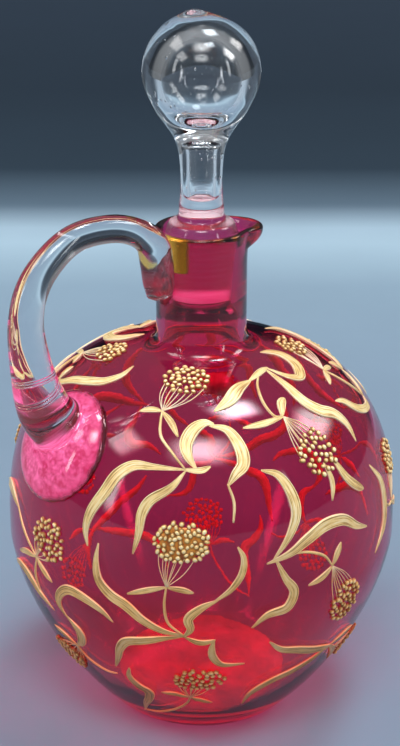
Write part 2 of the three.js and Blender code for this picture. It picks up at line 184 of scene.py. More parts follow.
def newGroup(name, inputs, outputs):
    group = bpy.data.node_groups.new(name, "ShaderNodeTree")
    for label, value in inputs.items():
        kind = "Vector" if value is None else "Color" if isinstance(value, tuple) else "Float"
        socket = group.interface.new_socket(name=label, in_out="INPUT", socket_type="NodeSocket" + kind)
        if value is not None:
            socket.default_value = (*value, 1) if kind == "Color" else value
    for label, kind in outputs.items():
        group.interface.new_socket(name=label, in_out="OUTPUT", socket_type="NodeSocket" + kind)
    return group, group.nodes.new("NodeGroupInput").outputs


def closeGroup(group, **results):
    out = group.nodes.new("NodeGroupOutput")
    for label, socket in results.items():
        group.links.new(socket, out.inputs[label])
    return group


def placeGroup(tree, group, **inputs):
    return addNode(tree, "Group", {"node_tree": group}, **inputs).outputs


# floor and world

floorSet = {
    "radius": 5,  # in metres, as the other lengths of the floor are
    "below": 0.0002,
    "towards": 53,
    # painted light on the table: its tone by distance behind the decanter, with a painted pale band of light
    # near its far edge and the painted darkness of an unlit room after it
    "tones": [
        (-0.2, (0.20, 0.265, 0.34)), (0.26, (0.20, 0.27, 0.345)), (0.40, (0.225, 0.31, 0.385)),
        (0.48, (0.335, 0.45, 0.53)), (0.51, (0.315, 0.42, 0.50)), (0.56, (0.085, 0.125, 0.165)),
        (0.65, (0.020, 0.034, 0.050)), (0.9, (0.014, 0.024, 0.037)), (1.5, (0.018, 0.029, 0.046)),
    ],
    "aside": (0.28, 0.34, 0.40),  # to either side of the dark part
    "sideways": (0.6, 1.5),  # where it starts and ends, as a share of the distance
    "nearest": 0.2,
}

# soft windows of light: degrees round and up, half widths in degrees, and how bright
windowSet = {
    "rightWindow": {"place": (-20, 38), "half": (8, 9), "soft": 0.6, "glow": 10.0, "tone": (1, 0.99, 0.98)},
    "roofLight": {"place": (0, 74), "half": (6, 7), "soft": 0.8, "glow": 26.0, "tone": (0.84, 0.92, 1)},
    "leftWindow": {"place": (152, 50), "half": (12, 8), "soft": 0.45, "glow": 6.5, "tone": (1, 0.98, 0.97)},
    "frontWindow": {"place": (-127, 62), "half": (11, 8), "soft": 1.0, "glow": 15.0, "tone": (0.95, 0.98, 1)},
    "leftStrip": {"place": (178, 18), "half": (3, 12), "soft": 0.5, "glow": 8.0, "tone": (0.95, 0.98, 1)},
    "rightStrip": {"place": (-72, 14), "half": (2.5, 14), "soft": 0.5, "glow": 8.0, "tone": (0.93, 0.97, 1)},
}

# the room's own light by height, and how dim it is straight behind the decanter
worldSet = {
    "levels": [(0.5, 0.16), (0.75, 0.25), (0.98, 0.36)], "tint": (0.89, 0.95, 1.02),
    "darkSide": (53, -10), "dim": (0.07, 0.10, 0.14), "dimFrom": 0.78, "dimTo": 0.93,
}


def wayTo(around, up):
    around, up = math.radians(around), math.radians(up)
    return Vector((math.cos(around) * math.cos(up), math.sin(around) * math.cos(up), math.sin(up)))


def makeFloor():
    material, tree = newMaterial("paleTable")
    where = objectPlace(tree)
    behind = calcVector(tree, "DOT_PRODUCT", where, wayTo(floorSet["towards"], 0))
    near, far = floorSet["tones"][0][0], floorSet["tones"][-1][0]
    fade = mapRange(tree, behind, near, far)
    # painted light and shade: the table's tone by distance behind the decanter
    tone = ramp(tree, fade, [((at - near) / (far - near), tone) for at, tone in floorSet["tones"]])
    off = calcVector(tree, "DOT_PRODUCT", where, wayTo(floorSet["towards"] + 90, 0))
    ahead = calc(tree, "MAXIMUM", behind, floorSet["nearest"])
    spread = calc(tree, "DIVIDE", calc(tree, "ABSOLUTE", off), ahead)
    beside = mapRange(tree, spread, *floorSet["sideways"], "SMOOTHSTEP")
    tone = mixTone(tree, beside, tone, floorSet["aside"])
    mottle = ramp(tree, noise(tree, where, 9.0, 5.0, 0.6), [(0.25, 0.93), (0.75, 1.0)])
    tone = mixTone(tree, 1.0, tone, mottle, "MULTIPLY")
    finishMaterial(tree, Base_Color=tone, Roughness=0.55, Specular_IOR_Level=0.1)

    mesh = bpy.data.meshes.new("table")
    work = bmesh.new()
    bmesh.ops.create_circle(work, cap_ends=True, segments=96, radius=floorSet["radius"])
    bmesh.ops.translate(work, verts=work.verts, vec=(0, 0, -floorSet["below"]))
    work.to_mesh(mesh)
    work.free()
    mesh.materials.append(material)
    table = bpy.data.objects.new("table", mesh)
    bpy.context.scene.collection.objects.link(table)


# how much of a soft-edged window lies in a direction, from 0 to 1
def softWindow(tree, direction, window):
    facing = wayTo(*window["place"])
    side = wayTo(window["place"][0] + 90, 0)
    ahead = calc(tree, "MAXIMUM", calcVector(tree, "DOT_PRODUCT", direction, facing), 0.001)
    masks = []
    for axis, half in zip((side, facing.cross(side)), window["half"]):
        off = calc(tree, "DIVIDE", calcVector(tree, "DOT_PRODUCT", direction, axis), ahead)
        edge, soft = math.tan(math.radians(half)), window["soft"]
        masks.append(mapRange(
            tree, calc(tree, "ABSOLUTE", off), edge * (1 + soft), edge * (1 - soft), "SMOOTHERSTEP",
        ))
    return calc(tree, "MULTIPLY", *masks)


def makeWorld():
    world = bpy.data.worlds.new("softRoom")
    world.use_nodes = True
    tree = world.node_tree
    tree.nodes.clear()
    direction = addNode(tree, "TexCoord").outputs["Generated"]
    height = mapRange(tree, apart(tree, direction)["Z"], -1.0, 1.0)
    light = ramp(tree, height, [
        (at, tuple(level * part for part in worldSet["tint"])) for at, level in worldSet["levels"]
    ])
    towards = calcVector(tree, "DOT_PRODUCT", direction, wayTo(*worldSet["darkSide"]))
    dim = [(worldSet["dimFrom"], (1, 1, 1)), (worldSet["dimTo"], worldSet["dim"])]
    light = calcVector(tree, "MULTIPLY", light, ramp(tree, towards, dim, smooth=True))
    for window in windowSet.values():
        glow = tuple(part * window["glow"] for part in window["tone"])
        lit = calcVector(tree, "MULTIPLY", glow, softWindow(tree, direction, window))
        light = calcVector(tree, "ADD", light, lit)
    back = addNode(tree, "Background", Color=light).outputs["Background"]
    addNode(tree, "OutputWorld", Surface=back)
    bpy.context.scene.world = world


makeFloor()
makeWorld()
print("floor and world made")


# small tools for meshes

# a smooth curve through the given points, with the same count of steps between each two
def smoothLine(points, count):
    given = np.array(points, float)
    padded = np.vstack([2 * given[0] - given[1], given, 2 * given[-1] - given[-2]])
    last = len(given) - 1
    line = []
    for t in np.linspace(0, last, count):
        i = min(int(t), last - 1)
        rows = list(padded[i : i + 4])
        knots = [0.0]
        for a, b in zip(rows, rows[1:]):
            knots.append(knots[-1] + max(np.linalg.norm(b - a), 1e-6) ** 0.5)
        u = knots[1] + (knots[2] - knots[1]) * (t - i)
        spans = [(0, 1), (1, 2), (2, 3)], [(0, 2), (1, 3)], [(1, 2)]
        for span in spans:
            rows = [
                (knots[j] - u) / (knots[j] - knots[k]) * a + (u - knots[k]) / (knots[j] - knots[k]) * b
                for (k, j), a, b in zip(span, rows, rows[1:])
            ]
        line.append(rows[0])
    return np.array(line)


# the same line with its points evenly spaced
def evenLine(points, count):
    given = np.array(points, float)
    steps = np.linalg.norm(np.diff(given, axis=0), axis=1)
    along = np.concatenate([[0], np.cumsum(steps)])
    wanted = np.linspace(0, along[-1], count)
    return np.column_stack([np.interp(wanted, along, given[:, i]) for i in range(given.shape[1])])


# turns a profile of (radius, height) about the upright axis
def revolve(profile, segments):
    verts, rings, faces = [], [], []
    for radius, height in profile:
        if radius < 1e-4:
            rings.append([len(verts)])
            verts.append((0, 0, height))
            continue
        rings.append(list(range(len(verts), len(verts) + segments)))
        for i in range(segments):
            turn = 2 * math.pi * i / segments
            verts.append((radius * math.cos(turn), radius * math.sin(turn), height))
    for low, high in zip(rings, rings[1:]):
        for i in range(segments):
            j = (i + 1) % segments
            corners = [low[i % len(low)], low[j % len(low)], high[j % len(high)], high[i % len(high)]]
            faces.append(list(dict.fromkeys(corners)))
    return np.array(verts, float), faces


# the faces between rows of points; a closed grid joins each row's last point to its first
def gridFaces(rows, columns, closed=True):
    faces = []
    for low in range(0, (rows - 1) * columns, columns):
        for j in range(columns if closed else columns - 1):
            k = (j + 1) % columns
            faces.append([low + j, low + k, low + columns + k, low + columns + j])
    return faces


# rings closed by a point on top and by a flat face, the last, below
def domeFaces(rings, sides):
    last = (rings - 1) * sides
    top = [[last + j, last + (j + 1) % sides, rings * sides] for j in range(sides)]
    return gridFaces(rings, sides) + top + [list(range(sides))[::-1]]


def newShape():
    return {"verts": [], "faces": [], "slots": [], "uv": []}


def addTo(shape, verts, faces, slots=(), uv=()):
    first = len(shape["verts"])
    shape["verts"].extend(verts)
    shape["faces"].extend([first + i for i in face] for face in faces)
    shape["slots"].extend(slots)
    shape["uv"].extend(uv)


# faces are turned outwards, unless the piece has bubbles, whose faces look into them
def addMesh(name, verts, faces, materials, slots=None, turnFaces=True):
    mesh = bpy.data.meshes.new(name)
    mesh.from_pydata((np.array(verts) * mm).tolist(), [], [list(face) for face in faces])
    if turnFaces:
        work = bmesh.new()
        work.from_mesh(mesh)
        bmesh.ops.recalc_face_normals(work, faces=work.faces)
        work.to_mesh(mesh)
        work.free()
    for material in materials:
        mesh.materials.append(material)
    mesh.polygons.foreach_set("use_smooth", [True] * len(mesh.polygons))
    if slots is not None:
        mesh.polygons.foreach_set("material_index", slots)
    mesh.update()
    piece = bpy.data.objects.new(name, mesh)
    bpy.context.scene.collection.objects.link(piece)
    return piece


def layUV(piece, name, values):
    layer = piece.data.uv_layers.new(name=name)
    corners = np.empty(len(piece.data.loops), int)
    piece.data.loops.foreach_get("vertex_index", corners)
    layer.data.foreach_set("uv", np.array(values, float)[corners].ravel())


# the blown vessel's shape, shared by everything that sits on it

globe = {
    "radius": 64, "equator": 62.4, "crown": 126.2, "lowerPower": 1.52, "upperPower": 2.63, "wall": 2.8,
    "sides": 144,
}
foot = {
    "radius": 32, "heel": 1.2, "innerRadius": 30.4, "floor": 4.0, "floorDip": 0.8, "ring": 27, "hollow": 0.7,
}
neck = {
    "radius": 14.5, "rim": 164.3, "lipWall": 2.65, "lipRound": 1.3, "fillet": 4, "sweep": 5.6, "flare": 0.7,
    "innerFillet": 8, "innerRise": 11, "throat": 11.5,
}
plug = {"length": 21.2, "taper": 0.1, "shoulderDrop": 1.2}
spout = {
    "azimuth": -20, "halfWidth": 38, "depth": 12, "reach": 6.2, "rollMiddle": 2.7, "rollHalf": 3.9,
    "funnel": 3.4, "lift": 0.3,
}


def sideRadius(inset, edge, height):
    radius = globe["radius"] - inset
    if height < globe["equator"]:
        power = globe["lowerPower"]
        depth = (globe["equator"] - edge[1]) / (1 - (edge[0] / radius) ** power) ** (1 / power)
        share = (globe["equator"] - height) / depth
    else:
        power = globe["upperPower"]
        share = (height - globe["equator"]) / (globe["crown"] - inset - globe["equator"])
    return radius * (1 - min(share, 1) ** power) ** (1 / power)


# a side of the globe, from its edge at the foot up to a radius near the neck
def sideLine(inset, edge, topRadius, count):
    radius, power = globe["radius"] - inset, globe["upperPower"]
    rise = globe["crown"] - inset - globe["equator"]
    top = globe["equator"] + rise * (1 - (topRadius / radius) ** power) ** (1 / power)
    heights = edge[1] + (top - edge[1]) * np.sin(np.linspace(0, math.pi / 2, 500))
    return evenLine([(sideRadius(inset, edge, z), z) for z in heights], count)


# the curve from the globe's side into the upright neck
def shoulderTurn(start, radius, height, count=9):
    t = np.linspace(0, 1, count)[1:, None]
    corner, end = np.array([radius, start[1]]), np.array([radius, start[1] + height])
    return (1 - t) ** 2 * start + 2 * t * (1 - t) * corner + t**2 * end


# the round of the lip, from outside at 0 to inside at pi
def lipCurve(angles):
    half = neck["lipWall"] / 2
    return [
        (neck["radius"] - half + half * math.cos(a), neck["rim"] - neck["lipRound"] * (1 - math.sin(a)))
        for a in angles
    ]


boreRadius = neck["radius"] - neck["lipWall"] - plug["taper"] * plug["length"]
seatFloor = neck["rim"] - plug["shoulderDrop"] - plug["length"] - 1
outerSide = sideLine(0, (foot["radius"], 0), neck["radius"] + neck["fillet"], 300)
innerSide = sideLine(
    globe["wall"], (foot["innerRadius"], foot["floor"]), neck["throat"] + neck["innerFillet"], 80,
)
sideArc = np.concatenate([[0], np.cumsum(np.linalg.norm(np.diff(outerSide, axis=0), axis=1))])

# the outline of the outside, from the heel to the top of the neck
aboveNeck = [neck["radius"], 190]
glassLine = np.vstack([outerSide, shoulderTurn(outerSide[-1], neck["radius"], neck["fillet"]), [aboveNeck]])


def radiusAt(arc):
    return np.interp(arc, sideArc, outerSide[:, 0])


def heightAt(arc):
    return np.interp(arc, sideArc, outerSide[:, 1])


# places on the globe: degrees round the axis, millimetres up the side from the foot, lift off the glass
def onGlobe(azimuth, arc, lift):
    azimuth, arc, lift = np.broadcast_arrays(*(np.array(part, float) for part in (azimuth, arc, lift)))
    low, high = np.clip(arc - 0.5, 0, sideArc[-1]), np.clip(arc + 0.5, 0, sideArc[-1])
    runX, runZ = radiusAt(high) - radiusAt(low), heightAt(high) - heightAt(low)
    length = np.hypot(runX, runZ)
    radius = radiusAt(arc) + lift * runZ / length
    height = heightAt(arc) - lift * runX / length
    turn = np.radians(azimuth)
    return np.stack([radius * np.cos(turn), radius * np.sin(turn), height], axis=-1)


# for points near a line of points: how far along each span they lie, and the gap to it
def spanGaps(points, start, run):
    rel = points[:, None, :] - start[None]
    share = np.clip((rel * run).sum(2) / (run**2).sum(1), 0, 1)
    return share, rel - share[..., None] * run


# how far points stand off the outside of the glass, minus inside it, and the way out
def offGlass(points):
    flat = np.column_stack([np.hypot(points[:, 0], points[:, 1]), points[:, 2]])
    distance, outward = np.empty(len(flat)), np.empty((len(flat), 3))
    run = np.diff(glassLine, axis=0)
    for part in np.array_split(np.arange(len(flat)), max(1, len(flat) // 4000)):
        gap = spanGaps(flat[part], glassLine[:-1], run)[1]
        rows, nearest = np.arange(len(part)), (gap**2).sum(2).argmin(1)
        line = run[nearest] / np.linalg.norm(run[nearest], axis=1)[:, None]
        out = np.column_stack([line[:, 1], -line[:, 0]])
        distance[part] = (gap[rows, nearest] * out).sum(1)
        around = points[part, :2] / np.maximum(flat[part, :1], 1e-6)
        outward[part] = np.column_stack([around * out[:, :1], out[:, 1]])
    return distance, outward


# glass

glassSet = {
    "fine": 420.0,  # scale of the fine skin
    "cranberry": {
        "tone": (0.94, 0.20, 0.40), "depthTone": (0.93, 0.12, 0.42), "depth": 130, "rough": 0.012,
        "ripple": 0.00016, "turned": 0.12, "lampTone": (0.955, 0.66, 0.74),
        # the thick glass of the neck is a deeper red, and the wheel left pale rings in its seat
        "neckTone": (0.95, 0.09, 0.31), "neckFrom": 118, "neckTo": 131, "streakTone": (0.98, 0.46, 0.62),
    },
    "clear": {
        "tone": (0.985, 0.992, 0.995), "depthTone": (0.90, 0.965, 0.985), "depth": 5, "rough": 0.008,
        "ripple": 0.00006, "turned": 0.4, "lampTone": (0.98, 0.985, 0.99),
    },
}


# a hand-blown surface: slow ripples, a fine skin and a smear of grease here and there
def makeBlownSurface():
    group, given = newGroup(
        "blownSurface",
        {"Ripple Scale": 55.0, "Fine Scale": 420.0, "Fine Share": 0.08, "Polish": 0.01, "Smear": 0.02},
        {"Height": "Float", "Roughness": "Float"},
    )
    where = objectPlace(group)
    slow = noise(group, where, given["Ripple Scale"], 1.0, 0.35)
    fine = noise(group, where, given["Fine Scale"], 2.0, 0.5)
    height = calc(group, "ADD", slow, calc(group, "MULTIPLY", fine, given["Fine Share"]))
    film = ramp(group, noise(group, where, 26.0, 6.0, 0.65), [(0.48, 0.0), (0.72, 1.0)])
    rough = calc(group, "ADD", calc(group, "MULTIPLY", film, given["Smear"]), given["Polish"])
    return closeGroup(group, Height=height, Roughness=rough)


# the part of a piece between two heights and near its axis, and the lines that the wheel turned there
def makeGroundZone():
    group, given = newGroup(
        "groundZone", {"Low": 0.0, "High": 0.0, "Radius": 0.0}, {"Mask": "Float", "Lines": "Float"},
    )
    where = objectPlace(group)
    height = apart(group, where)["Z"]
    above = calc(group, "GREATER_THAN", height, given["Low"])
    below = calc(group, "LESS_THAN", height, given["High"])
    near = calc(group, "LESS_THAN", fromAxis(group, where), given["Radius"])
    mask = calc(group, "MULTIPLY", calc(group, "MULTIPLY", above, below), near)
    level = calcVector(group, "MULTIPLY", where, (0.05, 0.05, 1))
    lines = calc(group, "MULTIPLY", noise(group, level, 1100.0, 2.0, 0.6), mask)
    return closeGroup(group, Mask=mask, Lines=lines)


# wheel-ground glass: matt, with fine circular scratches
def makeWheelGround():
    group, given = newGroup(
        "wheelGround", {"Deep": (0.2, 0.1, 0.1), "Light": (0.6, 0.5, 0.5)},
        {"Color": "Color", "Roughness": "Float", "Height": "Float"},
    )
    where = objectPlace(group)
    rings = addNode(group, "CombineXYZ", X=fromAxis(group, where)).outputs["Vector"]
    scratch = noise(group, rings, 1500.0, 3.0, 0.7)
    cloud = noise(group, where, 60.0, 6.0, 0.65)
    both = calc(group, "MULTIPLY_ADD", scratch, 0.35, cloud)
    shade = mixTone(group, ramp(group, both, [(0.50, 0.0), (0.86, 1.0)]), given["Deep"], given["Light"])
    rough = ramp(group, cloud, [(0.3, 0.5), (0.7, 0.72)])
    return closeGroup(group, Color=shade, Roughness=rough, Height=scratch)


blownSurface, groundZone, wheelGround = makeBlownSurface(), makeGroundZone(), makeWheelGround()


# rings of folds across a rod, from its foot, as a height
def foldRings(tree, folds):
    where = objectPlace(tree)
    footShade = calcVector(tree, "SUBTRACT", where, tuple(part * mm for part in folds["foot"]))
    lift = calcVector(tree, "DOT_PRODUCT", footShade, folds["axis"])
    bent = calc(tree, "MULTIPLY_ADD", noise(tree, where, 110.0), folds["wander"] * mm, lift)
    wave = calc(tree, "SINE", calc(tree, "MULTIPLY", bent, 2 * math.pi / (folds["gap"] * mm)))
    (low, high), (under, over) = folds["zone"], folds["fade"]
    rising = mapRange(tree, bent, (low - under) * mm, low * mm, "SMOOTHSTEP")
    falling = mapRange(tree, bent, (high + over) * mm, high * mm, "SMOOTHSTEP")
    mask = calc(tree, "MULTIPLY", calc(tree, "MULTIPLY", rising, falling), folds["height"])
    return calc(tree, "MULTIPLY", wave, mask)


# ground is a list of (low, high, radius, how matt)
def makeGlass(name, kind, ripple, ground=(), folds=None):
    values = glassSet[kind]
    material, tree = newMaterial(name)
    surface = placeGroup(
        tree, blownSurface, Ripple_Scale=ripple, Fine_Scale=glassSet["fine"], Fine_Share=0.05,
        Polish=values["rough"], Smear=0.03,
    )
    rough, height = surface["Roughness"], surface["Height"]
    for low, high, radius, matt in ground:
        zone = placeGroup(tree, groundZone, Low=low * mm, High=high * mm, Radius=radius * mm)
        rough = calc(tree, "MULTIPLY_ADD", zone["Mask"], matt, rough)
        height = calc(tree, "MULTIPLY_ADD", zone["Lines"], values["turned"], height)
    if folds:
        height = calc(tree, "ADD", height, foldRings(tree, folds))
    tone = values["tone"]
    if "neckTone" in values:
        where = objectPlace(tree)
        level = apart(tree, where)["Z"]
        share = mapRange(tree, level, values["neckFrom"] * mm, values["neckTo"] * mm, "SMOOTHSTEP")
        cloud = ramp(tree, noise(tree, where, 16.0, 3.0, 0.6, 1.2), [(0.45, 0.0), (0.72, 0.34)])
        tone = mixTone(tree, calc(tree, "MAXIMUM", share, cloud), tone, values["neckTone"])
        streaks = ramp(tree, zone["Lines"], [(0.42, 0.0), (0.66, 0.6)])
        tone = mixTone(tree, streaks, tone, values["streakTone"])
    shader = principled(
        tree, Base_Color=tone, Roughness=rough, IOR=1.5, Transmission_Weight=1,
        Normal=bump(tree, height, 1.0, values["ripple"]),
    )
    inside = addNode(tree, "VolumeAbsorption", Color=values["depthTone"], Density=values["depth"])
    # light from the windows reaches what is behind the glass
    passing = addNode(tree, "BsdfTransparent", Color=values["lampTone"])
    fromLamp = addNode(tree, "LightPath").outputs["Is Shadow Ray"]
    both = addNode(tree, "MixShader", Fac=fromLamp)
    tree.links.new(shader, both.inputs[1])
    tree.links.new(passing.outputs["BSDF"], both.inputs[2])
    addNode(tree, "OutputMaterial", Surface=both.outputs["Shader"], Volume=inside.outputs["Volume"])
    return material


def makeGround(name, deep, light):
    material, tree = newMaterial(name)
    ground = placeGroup(tree, wheelGround, Deep=deep, Light=light)
    finishMaterial(
        tree, Base_Color=ground["Color"], Roughness=ground["Roughness"],
        Normal=bump(tree, ground["Height"], 0.4, 0.00005),
    )
    return material


groundFoot = makeGround("groundFoot", (0.20, 0.008, 0.03), (0.66, 0.13, 0.21))
groundPlug = makeGround("groundPlug", (0.24, 0.20, 0.20), (0.46, 0.40, 0.40))
cranberryGlass = makeGlass("cranberryGlass", "cranberry", 52.0, [(seatFloor, neck["rim"] - 3.5, 12.2, 0.12)])
stopperGlass = makeGlass("stopperGlass", "clear", 60.0, [
    (seatFloor - 2, neck["rim"] - 3, 12.2, 0.18),
    (neck["rim"] + 8, neck["rim"] + 28, 4.2, 0.03),
])
print("glass mixed")


# vessel

# draws the lip out into the pouring spout
def pullSpout(verts):
    below = neck["rim"] - verts[:, 2]
    radius = np.hypot(verts[:, 0], verts[:, 1])
    azimuth = np.arctan2(verts[:, 1], verts[:, 0])
    turn = (azimuth - math.radians(spout["azimuth"]) + math.pi) % (2 * math.pi) - math.pi
    share = np.clip(np.abs(turn) / math.radians(spout["halfWidth"]), 0, 1)
    across = np.cos(share * math.pi / 2) ** 1.7
    roll = np.sqrt(np.clip(1 - ((below - spout["rollMiddle"]) / spout["rollHalf"]) ** 2, 0, 1)) ** 1.3
    soft = np.clip(1 - below / spout["depth"], 0, 1) ** 2
    outside = np.clip((radius - neck["radius"] + neck["lipWall"]) / neck["lipWall"], 0, 1)
    outwards = spout["reach"] * (0.72 * roll + 0.28 * soft) * outside + spout["funnel"] * soft * (1 - outside)
    flare = neck["flare"] * np.clip(1 - below / 5, 0, 1) ** 2
    pulled = radius + across * outwards + flare * (1 - across)
    lifted = verts[:, 2] + spout["lift"] * across * soft**2
    moved = np.column_stack([np.cos(azimuth) * pulled, np.sin(azimuth) * pulled, lifted])
    return np.where((below[:, None] < spout["depth"]) & (radius[:, None] < 20), moved, verts)


def makeVessel():
    heel, ring, hollow, wide = foot["heel"], foot["ring"], foot["hollow"], foot["radius"]
    outside = [
        (0, hollow), (ring * 0.5, hollow), (ring - 2.4, hollow * 0.9), (ring - 0.7, hollow * 0.35), (ring, 0),
        (wide - heel - 0.3, 0), (wide - heel + 0.5, heel * 0.06), (wide + heel * 0.1, heel * 0.25),
    ]
    below = outerSide[outerSide[:, 0] > neck["radius"] + neck["sweep"]]
    side = evenLine([(wide + heel * 0.35, heel * 0.55), *below[4:]], 120)
    shoulder = shoulderTurn(side[-1], neck["radius"], neck["sweep"] * 1.2, 12)
    lipFoot, lipEdge = neck["rim"] - spout["depth"], neck["rim"] - neck["lipRound"]
    outerNeck = [
        (neck["radius"], z) for z in (
            *np.linspace(shoulder[-1][1], lipFoot, 10)[1:],
            *np.linspace(lipFoot, lipEdge, 30)[1:],
        )
    ]
    lip = lipCurve(np.linspace(0, math.pi, 16)[1:-1])
    seatTop = neck["radius"] - neck["lipWall"]
    seat = [
        (seatTop - plug["taper"] * (neck["rim"] - z), z) for z in (
            *np.linspace(lipEdge, lipFoot, 14), *np.linspace(lipFoot, seatFloor, 8)[1:],
        )
    ]
    # under the ground seat the bore opens out to the blown throat
    throat = neck["throat"]
    opening = smoothLine([
        seat[-1], (boreRadius + 0.5, seatFloor - 1.5), (throat - 0.3, seatFloor - 4.5),
        (throat, seatFloor - 7.5),
    ], 12)[1:]
    innerShoulder = shoulderTurn(innerSide[-1], throat, neck["innerRise"], 12)[::-1]
    (low, floor), dip = innerSide[0], foot["floorDip"]
    dish = smoothLine([
        (low, floor), (low - 2.7, floor - dip * 0.7), (low - 9.6, floor - dip), (0, foot["floor"] - dip / 2),
    ], 14)[1:]
    dish[-1][0] = 0
    verts, faces = revolve([
        *outside, *side, *shoulder, *outerNeck, *lip, *seat, *opening, *innerShoulder, *innerSide[::-1],
        *dish,
    ], globe["sides"])
    # the hollow under the foot was ground flat on a wheel, so it is matt
    matt = [
        all(math.hypot(*verts[i][:2]) < wide - heel and verts[i][2] < 1 for i in face) for face in faces
    ]
    vessel = addMesh(
        "vesselGlass", pullSpout(verts), faces, [cranberryGlass, groundFoot], [int(under) for under in matt],
    )
    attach(vessel, "decanter_body")
    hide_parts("vessel")


makeVessel()
print("vessel blown")


# stopper

stopper = {
    "ballRadius": 18, "ballLift": 48.9, "crownFlat": 0.96, "stemFoot": 7.5, "stemFootLift": 3.2,
    "nubLift": 1, "nubLean": 2.2, "nubAzimuth": 143, "clearance": 0.3, "segments": 112,
    # (radius, height over the rim) from the stem's foot up to the ball
    "stem": [
        (7.0, 6.4), (6.55, 11.5), (6.5, 16.5), (6.75, 21), (7.3, 25), (8.3, 28), (9.4, 30.2), (11.3, 33),
        (13.9, 36.6),
    ],
    # the bubble blown into the ball, and the tube of air drawn down into the stem
    "bubble": [
        (0, 10.2), (3.6, 9.7), (7.2, 7.9), (10, 5), (11.7, 1.2), (12.1, -2.2), (11.2, -6.4), (9, -10),
        (6, -12.6), (3, -13.9), (0, -14.2),
    ],
    "tube": {"radius": 3.8, "floorLift": 9, "roofLift": 29.8, "corner": 1.4},
    "seeds": 40, "stemSeeds": 18, "seedSize": (0.20, 0.42),
}


# tiny seeds of air in the thick glass of the ball and the stem
def addSeeds(shape, centre):
    chance = random.Random(7)
    for k in range(stopper["seeds"] + stopper["stemSeeds"]):
        turn, size = chance.uniform(0, 2 * math.pi), chance.uniform(*stopper["seedSize"])
        if k < stopper["seeds"]:
            tilt, away = math.asin(chance.uniform(-0.6, 0.85)), chance.uniform(13.4, 16.6)
            out, up = away * math.cos(tilt), centre + away * math.sin(tilt)
        else:
            out, up = chance.uniform(4.5, 5.8), neck["rim"] + chance.uniform(10, 27)
        bend = np.linspace(math.pi / 2, -math.pi / 2, 7)
        verts, faces = revolve([(size * math.cos(a), size * 1.4 * math.sin(a)) for a in bend], 8)
        addTo(shape, verts + np.array((out * math.cos(turn), out * math.sin(turn), up)), faces)


def makeStopper():
    rim, ball = neck["rim"], stopper["ballRadius"]
    top = neck["radius"] - neck["lipWall"] - stopper["clearance"]
    shoulder = rim - plug["shoulderDrop"]
    end = shoulder - plug["length"]
    endRadius = top - plug["taper"] * plug["length"]
    centre = rim + stopper["ballLift"]
    crown = centre + ball * stopper["crownFlat"]

    def onBall(degrees):
        angle = math.radians(degrees)
        rise = crown - centre if degrees > 0 else ball
        return (ball * math.cos(angle), centre + rise * math.sin(angle))

    cone = [
        (endRadius * 0.5, end), (endRadius - 0.7, end), (endRadius - 0.2, end + 0.15), (endRadius, end + 0.6),
    ]
    for t in np.linspace(0.1, 0.97, 12):
        cone.append((endRadius + (top - 0.12 - endRadius) * t, end + (shoulder - end) * t))
    stemFoot, footLift = stopper["stemFoot"], stopper["stemFootLift"]
    bell = smoothLine([
        cone[-1], (top - 0.25, shoulder + 0.35), ((top + stemFoot) / 2 + 0.6, rim + footLift * 0.5),
        (stemFoot, rim + footLift), *[(radius, rim + up) for radius, up in stopper["stem"]], onBall(-29),
    ], 96)[1:]
    upper = [onBall(degrees) for degrees in np.linspace(-26, 50, 44)]
    nubLift = stopper["nubLift"]
    nub = smoothLine([
        upper[-1], onBall(57), (7.3, crown - 1.55), (4.6, crown - 0.35), (2.6, crown + 0.45),
        (1.1, crown + nubLift * 0.92), (0, crown + nubLift),
    ], 26)[1:]
    nub[-1][0] = 0
    outer, faces = revolve([(0, end), *cone, *bell, *upper, *nub], stopper["segments"])
    lean = stopper["nubLean"] * np.clip((outer[:, 2] - crown + 7) / 8, 0, 1) ** 2
    turn = math.radians(stopper["nubAzimuth"])
    outer[:, 0] += lean * math.cos(turn)
    outer[:, 1] += lean * math.sin(turn)
    shape = newShape()
    addTo(shape, outer, faces)

    tube = stopper["tube"]
    wide, corner = tube["radius"], tube["corner"]
    floor, roof = rim + tube["floorLift"], rim + tube["roofLift"]
    bubble = smoothLine([(radius, centre + up) for radius, up in stopper["bubble"]], 80)
    hollow = smoothLine([
        (0, roof), (wide * 0.55, roof - 0.25), (wide * 1.02, roof - 2.2), (wide, roof - 6),
        (wide, (roof + floor) / 2), (wide, floor + corner * 2), (wide * 0.97, floor + corner * 0.6),
        (wide - corner * 0.7, floor + 0.08), (0, floor),
    ], 64)
    for line in (bubble, hollow):
        line[0][0] = line[-1][0] = 0
        addTo(shape, *revolve(line, stopper["segments"]))
    addSeeds(shape, centre)
    verts, faces = shape["verts"], shape["faces"]
    slots = [int(np.mean([verts[i][2] for i in face]) < end + 0.4) for face in faces]
    piece = addMesh("stopperGlass", verts, faces, [stopperGlass, groundPlug], slots, turnFaces=False)
    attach(piece, "stopper_body")
    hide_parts("stopper")


makeStopper()
print("stopper blown")


# handle

